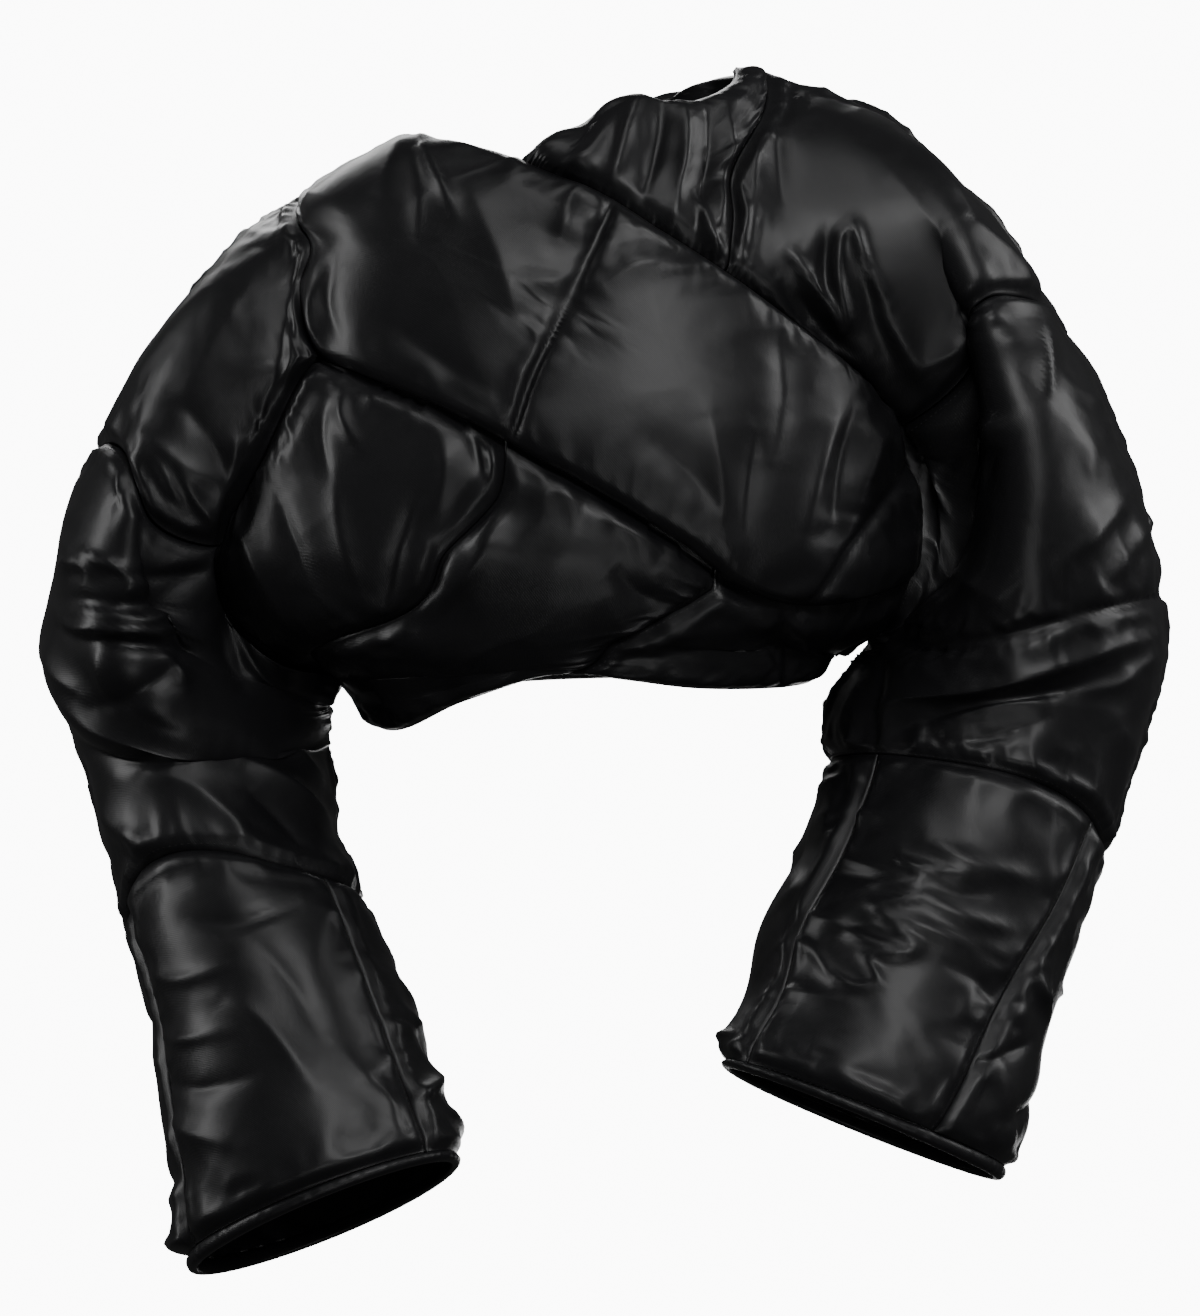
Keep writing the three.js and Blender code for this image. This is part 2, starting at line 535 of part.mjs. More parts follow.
addPanel('back', body, {
  top: bodyPoints('neckBack'),
  bottom: bodyPoints('hemBack'),
  left: chain(reversed(bodyPoints('shoulderRight')), bodyPoints('armholeBackRight1'),
    bodyPoints('armholeBackRight2'), bodyPoints('armholeBackRight3'), bodyPoints('sideRight')),
  right: chain(fromBack(bodyPoints('shoulderLeft')), bodyPoints('armholeBackLeft1'),
    bodyPoints('armholeBackLeft2'), bodyPoints('armholeBackLeft3'), fromBack(bodyPoints('sideLeft'))),
}, {
  open: { left: 0.7, right: 0.6 },
  quilts: [{ from: [0, 0.34], to: [1, 0.34] }, { from: [0, 0.68], to: [1, 0.68] }],
});

// A sleeve: how the armhole is shared round it, its cross seams as rows of (along, round), its
// lengthwise seams below the elbow, and the ring at which the elbow's cross seam crosses its edges
const SLEEVES = {
  right: {
    valleys: [{ round: 1.66, reach: 0.3, along: 0.35, deep: -5 }],
    rings: RIGHT_RINGS, sign: 1, cap: 3, elbow: 8, capSteps: 10, midSteps: 13, lowSteps: 9,
    front: ['armholeRight1', 'armholeRight2', ['armholeRight3']],
    back: ['armholeBackRight1', 'armholeBackRight2', ['armholeBackRight3']],
    armhole: [
      { name: 'armholeRight1', from: 0, to: 0.37 },
      { name: 'armholeRight2', from: 0.37, to: 0.72 },
      { name: 'armholeRight3', from: 0.72, to: 1 },
      { name: 'armholeBackRight1', from: 2, to: 1.66 },
      { name: 'armholeBackRight2', from: 1.66, to: 1.3 },
      { name: 'armholeBackRight3', from: 1.3, to: 1 },
    ],
    capSeam: [[3, 0], [2.2, 0.26], [1.1, 0.52], [0, 0.72]],
    capSeamBack: [[3, 2], [2.3, 1.75], [1.1, 1.5], [0, 1.3]],
    elbowSeam: [[8, 0], [7.5, 0.25], [7.35, 0.5], [7.7, 0.78], [8, 1]],
    outerSeam: [[8, 0.1], [12, 0.12]], innerSeam: [[8, 0.76], [12, 0.8]],
    elbowShares: [2, 10, 3],
  },
  left: {
    valleys: [
      { round: 0.5, reach: 0.14, along: 0.25, deep: 14 },
      { round: 0.6, reach: 0.08, along: 0.18, deep: 16 },
      { round: 0.69, reach: 0.08, along: 0.2, deep: 12 },
      { round: 1.66, reach: 0.3, along: 0.35, deep: -8 },
    ],
    rings: LEFT_RINGS, sign: -1, cap: 3.6, elbow: 8.6, capSteps: 10, midSteps: 14, lowSteps: 9,
    front: ['armholeLeft1', 'armholeLeft2', ['armholeLeft3', 'armholeLeft4']],
    back: ['armholeBackLeft1', 'armholeBackLeft2', ['armholeBackLeft3']],
    armhole: [
      { name: 'armholeLeft1', from: 0, to: 0.38 },
      { name: 'armholeLeft2', from: 0.38, to: 0.64 },
      { name: 'armholeLeft3', from: 0.64, to: 0.88 },
      { name: 'armholeLeft4', from: 0.88, to: 1 },
      { name: 'armholeBackLeft1', from: 2, to: 1.64 },
      { name: 'armholeBackLeft2', from: 1.64, to: 1.26 },
      { name: 'armholeBackLeft3', from: 1.26, to: 1 },
    ],
    capSeam: [[3.6, 0], [3.0, 0.14], [2.4, 0.28], [1.3, 0.45], [0, 0.64]],
    capSeamBack: [[3.6, 2], [2.6, 1.75], [1.1, 1.48], [0, 1.26]],
    elbowSeam: [[8.6, 0], [8.1, 0.25], [7.6, 0.5], [7.3, 0.75], [7.4, 1]],
    outerSeam: [[8.3, 0.18], [13, 0.36]], innerSeam: [[7.3, 0.8], [13, 0.84]],
    elbowShares: [5, 15, 6],
  },
};

// A sleeve's pieces: a cap from the armhole to the upper-arm seam and a middle down to the elbow's seam,
// each with a front and a back, a lower front and a lower back between the two lengthwise seams, and
// the binding round the cuff
function addSleeve(side) {
  const spec = SLEEVES[side];
  const surface = sleeve(spec);
  const end = spec.rings.length, cuff = end - CUFF_LENGTH / 48;
  const name = (piece) => `sleeve_${side}_${piece}`;
  const armhole = (names) => chain(...names.map((line) => surface.armholePoints(line)));
  const [shareOuter, shareFront, shareInner] = spec.elbowShares;
  const shareTotal = shareOuter + shareFront + shareInner;

  const faces = [
    { face: 'front', outer: 0, lines: spec.front, capSeam: spec.capSeam, elbow: spec.elbowSeam },
    { face: 'back', outer: 2, lines: spec.back, capSeam: spec.capSeamBack,
      elbow: spec.elbowSeam.map(([along, round]) => [THREE.MathUtils.lerp(
        spec.elbowSeam[0][0], spec.elbowSeam.at(-1)[0], round), 2 - round]) },
  ];
  for (const { face, outer, lines, capSeam, elbow } of faces) {
    const [upper, middle, lower] = lines;
    const seam = sleeveLine(capSeam, BODY_LINES[upper].steps);
    const across = chain(seam, armhole(lower));
    const elbowSteps = face === 'front' ? shareTotal : across.length - 1;
    addPanel(name(`cap_${face}`), surface, {
      top: straight([0, outer], [spec.cap, outer], spec.capSteps),
      bottom: surface.armholePoints(middle),
      left: surface.armholePoints(upper),
      right: seam,
    }, {
      underWrap: side === 'left' && face === 'front',
      slack: 5,
      open: face === 'back' ? { left: 0.6, bottom: 0.6 } : {},
      folds: SLEEVE_FOLDS[name(`cap_${face}`)],
    });
    addPanel(name(`middle_${face}`), surface, {
      top: across,
      bottom: sleeveLine(elbow, elbowSteps),
      left: straight([spec.cap, outer], elbow[0], spec.midSteps),
      right: straight([0, 1], elbow.at(-1), spec.midSteps),
    }, { folds: SLEEVE_FOLDS[name(`middle_${face}`)], quilts: SLEEVE_QUILTS[name(`middle_${face}`)] });
  }
  const elbowFront = sleeveLine(faces[0].elbow, shareTotal);
  const elbowBack = sleeveLine(faces[1].elbow, faces[1].lines[2].reduce(
    (sum, line) => sum + BODY_LINES[line].steps, BODY_LINES[faces[1].lines[0]].steps));
  const turned = (points) => points.map((p) => new THREE.Vector2(p.x, p.y + 2));
  const topFront = elbowFront.slice(shareOuter, shareOuter + shareFront + 1);
  const topBack = chain(elbowFront.slice(shareOuter + shareFront), reversed(elbowBack),
    turned(elbowFront.slice(0, shareOuter + 1)));
  const lowSeam = (rows, top) => sleeveLine([[top.x, top.y], ...rows.slice(1)], spec.lowSteps)
    .map((p) => new THREE.Vector2(Math.min(p.x, cuff), p.y));
  const outerSeam = lowSeam(spec.outerSeam, topFront[0]);
  const innerSeam = lowSeam(spec.innerSeam, topFront.at(-1));
  outerSeam[spec.lowSteps].x = cuff;
  innerSeam[spec.lowSteps].x = cuff;
  const outerEnd = outerSeam.at(-1).y, innerEnd = innerSeam.at(-1).y;
  addPanel(name('lower_front'), surface, {
    top: topFront, bottom: straight([cuff, outerEnd], [cuff, innerEnd], topFront.length - 1),
    left: outerSeam, right: innerSeam,
  }, { folds: SLEEVE_FOLDS[name('lower_front')] });
  addPanel(name('lower_back'), surface, {
    top: topBack, bottom: straight([cuff, innerEnd], [cuff, outerEnd + 2], topBack.length - 1),
    left: innerSeam, right: turned(outerSeam),
  }, { folds: SLEEVE_FOLDS[name('lower_back')] });
  addCuff(name('cuff'), surface, cuff, end);
}

// The cuff's rolled binding: a closed ring, swollen in the middle of its width
const CUFF_STEPS = 34;
const CUFF_ROWS = [0.03, 0.3, 0.7, 1];
function addCuff(name, surface, from, to) {
  const rows = CUFF_ROWS.map((f) => Array.from({ length: CUFF_STEPS }, (_, i) => {
    const along = THREE.MathUtils.lerp(from, to, f), round = 2 * i / CUFF_STEPS;
    const p = surface.place(along, round), n = surface.normal(along, round);
    return { p, n, wall: SEAM_WALL + CUFF_SWELL * Math.sin(Math.PI * f) };
  }));
  const sheet = (height) => rows.map((row) => row.map((c) => c.p.clone().addScaledVector(c.n, height(c))));
  addMesh(name, wallGeometry(sheet(() => 0), sheet((c) => c.wall), true), BINDING);
}

// The sleeves' stitched lines within a piece and their largest folds, in the piece's own (across, down)
const SLEEVE_QUILTS = {
  sleeve_left_middle_front: [{ from: [0, 0.62], to: [1, 0.42] }],
  sleeve_left_middle_back: [{ from: [0, 0.62], to: [1, 0.42] }],
};
const SLEEVE_FOLDS = {
  sleeve_left_cap_front: [
    { from: [0.25, 0.45], to: [0.6, 0.95], wide: 9, high: 5 },
    { from: [0.45, 0.3], to: [0.75, 0.95], wide: 9, high: -4 },
  ],
  sleeve_left_middle_front: [
    { from: [0, 0.7], to: [0.95, 0.55], wide: 14, high: 8 },
    { from: [0, 0.82], to: [0.9, 0.68], wide: 12, high: -5 },
    { from: [0.35, 0.9], to: [0.75, 0.72], wide: 11, high: 6 },
  ],
  sleeve_left_lower_front: [
    { from: [0.2, 0.15], to: [0.85, 0.35], wide: 10, high: 5 },
    { from: [0.25, 0.5], to: [0.9, 0.3], wide: 10, high: -4 },
    { from: [0.3, 0.6], to: [0.8, 0.52], wide: 10, high: 4 },
  ],
  sleeve_right_middle_front: [
    { from: [0, 0.34], to: [0.75, 0.3], wide: 15, high: 9 },
    { from: [0, 0.45], to: [0.8, 0.42], wide: 12, high: -6 },
    { from: [0.02, 0.58], to: [0.5, 0.75], wide: 12, high: 6 },
    { from: [0.3, 0.55], to: [0.95, 0.78], wide: 12, high: 7 },
    { from: [0.25, 0.68], to: [0.8, 0.9], wide: 11, high: -5 },
  ],
  sleeve_right_lower_front: [
    { from: [0.15, 0.3], to: [0.75, 0.4], wide: 10, high: 5 },
    { from: [0.2, 0.55], to: [0.8, 0.45], wide: 10, high: -4 },
  ],
};

addSleeve('right');
addSleeve('left');

export default jacket;
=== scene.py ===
"""Cropped puffer jacket with a wrapped front and wide batwing sleeves, in black satin, as it is worn.

Every piece is a padded wall over the same surfaces as the part's source: level sections for the body and
rings for the sleeves. Tables are in millimetres, +Z up and the front towards -Y. Meshes are in metres.
"""
import math

import bpy
import numpy as np
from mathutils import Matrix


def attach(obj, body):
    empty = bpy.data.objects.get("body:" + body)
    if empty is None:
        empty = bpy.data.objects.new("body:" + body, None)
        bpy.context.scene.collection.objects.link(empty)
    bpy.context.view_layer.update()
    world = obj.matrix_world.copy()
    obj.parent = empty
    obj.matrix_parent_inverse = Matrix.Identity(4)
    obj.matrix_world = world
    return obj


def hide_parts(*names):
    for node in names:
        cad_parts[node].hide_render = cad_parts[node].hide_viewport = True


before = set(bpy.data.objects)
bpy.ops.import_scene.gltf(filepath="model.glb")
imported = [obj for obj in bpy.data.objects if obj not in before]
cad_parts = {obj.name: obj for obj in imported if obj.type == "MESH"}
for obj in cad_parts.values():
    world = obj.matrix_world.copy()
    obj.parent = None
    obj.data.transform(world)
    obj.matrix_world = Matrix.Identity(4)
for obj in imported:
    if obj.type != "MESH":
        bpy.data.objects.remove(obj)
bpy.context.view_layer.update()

MM = 0.001

# The photograph: its size, the millimetres a pixel covers at the shoulders, and where the camera stood
PHOTO_WIDE, PHOTO_HIGH = 1200, 1316
PIXEL = 0.62
CAMERA = np.array([32.0, -3000.0, -315.0])

# Wall of padded cloth: how thick it is at a seam and under the wrap, how far it swells in between and
# within what distance, and how much higher the middle of a block is, this far in from its seams
SEAM_WALL = 6.4
TUCK_WALL = 2.0
PUFF = 4.8
SWELL = 5.2
CROWN = 3.6
CROWN_REACH = 60
# How much thicker the wall is along a seam that hardly dents the cloth, how far in from it, and within
# what distance of a deeper seam and of an open edge this fades
SHALLOW = 3.0
SHALLOW_REACH = 11.0
FADE_DEEP, FADE_OPEN = 16, 14
# How much thinner the wall is along an open edge, so that the edge is round, and how far in from it
ROLLED = 2.6
ROLLED_REACH = 6
# A quilt line's groove: its reach, and its sharpness from 1 for a sharp line to 2 for a round one
GROOVE = (4.6, 1.15)
# How far a piece's edge keeps from its seam, how far the wrap stands off the panels below it, and how far
# they reach in under it
SEAM_GAP = 0.238
WRAP_LIFT = 5.7
TUCK = 12.0
CUFF_LENGTH = 10.0
# Powers of the sine and cosine: below 1 the body's level sections are a little square, above 1 a sleeve's
# bow is narrow
ROUND = 0.94
BOW_ROUND = 1.3
# Gathers as spacing, length and height: fine and broad ones along a seam, those along a quilt line and
# the lining's
FINE_GATHERS = (9, 15, 1.25)
BROAD_GATHERS = (24, 30, 0.9375)
QUILT_GATHERS = (11, 15, 1.3)
LINING_GATHERS = (11, 60, 2.2)
# How much lower they are at an open edge, the most that the lining moves, and the least wall it leaves
OPEN_GATHERS = 0.5
LINING_DIP = 1.8
LEAST_WALL = 1.6
# Creases on pieces that the photograph hides: one for each so many square millimetres, with ranges for
# its length and width, the most that it turns and bends in radians, and the heights to choose from
CREASE_AREA = 2400
CREASE_LONG, CREASE_WIDE = (30, 90), (7, 13)
CREASE_TURN, CREASE_BEND = 0.7, 0.5
CREASE_HIGH = (4.5, 3, -4)
# Length of a cell of a panel's grid, of the coarser one that is simulated, and how many points a seam has
# for each step of the source
CELL = 2.6
COARSE = 5.0
DENSE = 12
# Cells across and down in the rough grid that finds a panel's size, and the fewest in its own
ROUGH_CELLS = 8
LEAST_CELLS = 6
# Lengths in millimetres that stand for one radian round the body, and for one ring and half a turn of a
# sleeve, where a seam's points are spaced evenly, and about how far apart the last rings are
RADIAN_LONG = 180.0
SLEEVE_LONG = np.array([50.0, 250.0])
RING_APART = 48

BODY = {
    "z":     (56, 38, 2, -32, -60, -130, -200, -250, -275, -290, -305, -318, -345, -375),
    "right": (60, 8, -75, -135, -166, -196, -212, -216, -206, -190, -164, -126, -106, -98),
    "left":  (110, 127, 148, 166, 184, 206, 222, 226, 217, 198, 168, 163, 158, 152),
    "front": (44, 64, 88, 102, 114, 130, 140, 142, 136, 130, 122, 114, 108, 106),
    "back":  (60, 68, 84, 95, 104, 116, 124, 125, 122, 118, 112, 106, 100, 98),
}

# Seams and edges on the body: steps, whether it is on the back, and points (x, z) along it
BODY_LINES = {
    "shoulder_right": (5, 0, [(-140, -34), (-124, -24), (-78, 2)]),
    "shoulder_left": (1, 0, [(113, 45), (121, 42)]),
    "neck_wrap": (4, 0, [(-78, 2), (-45, -12), (-16, -20)]),
    "neck_yoke": (9, 0, [(-24, -26), (3, -3), (22, 5), (36, 17), (53, 22), (70, 19), (92, 22), (113, 45)]),
    "neck_back": (15, 1, [(-78, 2), (-46, -8), (-12, -10), (28, 12), (62, 42), (88, 49), (113, 45)]),
    "wrap_upper": (24, 0, [(-16, -19), (26, -38), (64, -61), (103, -86), (131, -106), (170, -137),
                           (187, -155), (199, -173)]),
    "wrap_lower_right": (7, 0, [(-134, -136), (-113, -145), (-64, -166), (-20, -189)]),
    "wrap_lower_middle": (12, 0, [(-20, -189), (15, -208), (58, -234), (105, -267)]),
    "wrap_lower_left": (9, 0, [(105, -267), (126, -276), (152, -279), (186, -275), (217, -262)]),
    "wrap_end": (13, 0, [(199, -173), (211, -192), (218, -216), (219.5, -240), (217, -262)]),
    "armhole_right_1": (8, 0, [(-142, -34), (-139, -64), (-143, -94), (-140, -120), (-134, -136)]),
    "armhole_right_2": (10, 0, [(-134, -136), (-146, -152), (-160, -182), (-175, -214), (-190, -246)]),
    "armhole_right_3": (7, 0, [(-190, -246), (-194, -270), (-183, -287), (-160, -304), (-130, -317)]),
    "armhole_left_1": (9, 0, [(121, 42), (113, -10), (108, -55), (104, -98)]),
    "armhole_left_2": (10, 0, [(104, -98), (128, -117), (164, -143), (187, -160), (203, -170)]),
    "armhole_left_3": (13, 0, [(203, -170), (214, -190), (219, -216), (220, -240), (217, -262)]),
    "armhole_left_4": (4, 0, [(217, -262), (210, -279), (201, -290)]),
    "armhole_back_right_1": (8, 1, [(-142, -34), (-138, -64), (-134, -100), (-136, -136)]),
    "armhole_back_right_2": (10, 1, [(-136, -136), (-146, -170), (-162, -208), (-176, -244)]),
    "armhole_back_right_3": (7, 1, [(-176, -244), (-178, -276), (-158, -302), (-130, -317)]),
    "armhole_back_left_1": (7, 1, [(121, 42), (110, -10), (106, -60), (112, -110)]),
    "armhole_back_left_2": (10, 1, [(112, -110), (132, -148), (160, -180), (188, -210)]),
    "armhole_back_left_3": (6, 1, [(188, -210), (202, -238), (208, -268), (201, -290)]),
    "side_right": (3, 0, [(-134, -317), (-134, -330)]),
    "side_left": (9, 0, [(202, -290), (190, -306), (172, -323)]),
    "diagonal": (10, 0, [(-20, -189), (-26, -218), (-57, -251), (-92, -290), (-130, -317)]),
    "lower_seam": (13, 0, [(105, -267), (72, -286), (36, -306), (15, -323)]),
    "hem_right": (12, 0, [(-134, -330), (-112, -352), (-86, -358), (-47, -340), (-10, -327), (15, -323)]),
    "hem_left": (9, 0, [(15, -323), (50, -328), (90, -333), (134, -333), (158, -329), (175, -323)]),
    "hem_back": (15, 1, [(-134, -330), (-90, -334), (10, -328), (110, -326), (175, -323)]),
    "yoke_tuck_side": (10, 0, [(-24, -26), (-18, -42), (-4, -56)]),
    "yoke_tuck_foot": (9, 0, [(-4, -56), (50, -86), (104, -98)]),
}

# Rings of a sleeve from the armhole to the cuff: outer x, z, inner x, z, depth y, half depths in front
# and behind, how far the middle hangs towards the cuff, how much of that is near the inner edge, how much
# the front fills towards the outer edge, and how much higher the front is than the middle
RIGHT_RINGS = [
    (-186, -66, -136, -331, 0, 97, 92, 76, 0.8, 0, 0),
    (-235, -130, -141, -335, 4, 102, 95, 72, 0.5, 0, 0),
    (-274, -199, -145, -341, 12, 106, 92, 62, 0.3, 0, 0),
    (-293, -262, -147, -352, 20, 104, 86, 44, 0.2, 0, 0),
    (-303, -307, -149, -370, 24, 98, 82, 30, 0, 0, 0),
    (-284, -354, -145, -392, 14, 90, 82, 18, 0, 0, 4),
    (-267, -406, -140, -426, -6, 82, 80, 11, 0, 0, 10),
    (-246, -485, -122, -465, -40, 76, 74, 7, 0, 0, 14),
    (-230, -538, -103, -510, -65, 71, 70, 4, 0, 0, 15),
    (-222, -586, -83, -558, -86, 66, 66, 2, 0, 0, 16),
    (-213, -634, -68, -593, -106, 61, 62, 0, 0, 0, 17),
    (-208, -680, -55, -617, -122, 57, 58, 0, 0, 0, 18),
]
LEFT_RINGS = [
    (191, 14, 206, -301, 0, 68, 90, 60, 0.8, 0.5, 0),
    (239, -22, 207, -305, 2, 88, 95, 52, 0.6, 0.2, 0),
    (292, -89, 207, -311, 8, 102, 94, 46, 0.3, 0, 0),
    (336, -159, 203, -319, 16, 106, 90, 36, 0.2, 0, 0),
    (364, -237, 196, -329, 22, 106, 86, 26, 0, 0, 0),
    (373, -305, 187, -344, 24, 100, 84, 15, 0, 0, 2),
    (361, -355, 182, -368, 14, 94, 84, 8, 0, 0, 4),
    (344, -403, 180, -395, 0, 88, 82, 4, 0, 0, 6),
    (322, -465, 166, -436, -26, 80, 76, 2, 0, 0, 8),
    (301, -511, 142, -483, -50, 74, 70, 0, 0, 0, 9),
    (288, -546, 132, -521, -70, 69, 66, 0, 0, 0, 9),
    (280, -585, 119, -544, -88, 64, 62, 0, 0, 0, 9),
    (268, -627, 109, -561, -103, 60, 58, 0, 0, 0, 9),
]

# How the armhole is shared round each sleeve, its cross seams as rows of (along, round), its lengthwise
# seams below the elbow, and the soft valleys (round, reach, along, deep) that keep the walls clear
SLEEVES = {
    "right": dict(
        rings=RIGHT_RINGS, sign=1, cap=3, cap_steps=10, mid_steps=13, low_steps=9,
        valleys=[(1.66, 0.3, 0.35, -5)],
        front=["armhole_right_1", "armhole_right_2", ["armhole_right_3"]],
        back=["armhole_back_right_1", "armhole_back_right_2", ["armhole_back_right_3"]],
        armhole={"armhole_right_1": (0, 0.37), "armhole_right_2": (0.37, 0.72),
                 "armhole_right_3": (0.72, 1), "armhole_back_right_1": (2, 1.66),
                 "armhole_back_right_2": (1.66, 1.3), "armhole_back_right_3": (1.3, 1)},
        cap_seam=[(3, 0), (2.2, 0.26), (1.1, 0.52), (0, 0.72)],
        cap_seam_back=[(3, 2), (2.3, 1.75), (1.1, 1.5), (0, 1.3)],
        elbow_seam=[(8, 0), (7.5, 0.25), (7.35, 0.5), (7.7, 0.78), (8, 1)],
        outer_seam=[(8, 0.1), (12, 0.12)], inner_seam=[(8, 0.76), (12, 0.8)],
        elbow_shares=(2, 10, 3)),
    "left": dict(
        rings=LEFT_RINGS, sign=-1, cap=3.6, cap_steps=10, mid_steps=14, low_steps=9,
        valleys=[(0.5, 0.14, 0.25, 14), (0.6, 0.08, 0.18, 16), (0.69, 0.08, 0.2, 12),
                 (1.66, 0.3, 0.35, -8)],
        front=["armhole_left_1", "armhole_left_2", ["armhole_left_3", "armhole_left_4"]],
        back=["armhole_back_left_1", "armhole_back_left_2", ["armhole_back_left_3"]],
        armhole={"armhole_left_1": (0, 0.38), "armhole_left_2": (0.38, 0.64),
                 "armhole_left_3": (0.64, 0.88), "armhole_left_4": (0.88, 1),
                 "armhole_back_left_1": (2, 1.64), "armhole_back_left_2": (1.64, 1.26),
                 "armhole_back_left_3": (1.26, 1)},
        cap_seam=[(3.6, 0), (3.0, 0.14), (2.4, 0.28), (1.3, 0.45), (0, 0.64)],
        cap_seam_back=[(3.6, 2), (2.6, 1.75), (1.1, 1.48), (0, 1.26)],
        elbow_seam=[(8.6, 0), (8.1, 0.25), (7.6, 0.5), (7.3, 0.75), (7.4, 1)],
        outer_seam=[(8.3, 0.18), (13, 0.36)], inner_seam=[(7.3, 0.8), (13, 0.84)],
        elbow_shares=(5, 15, 6)),
}

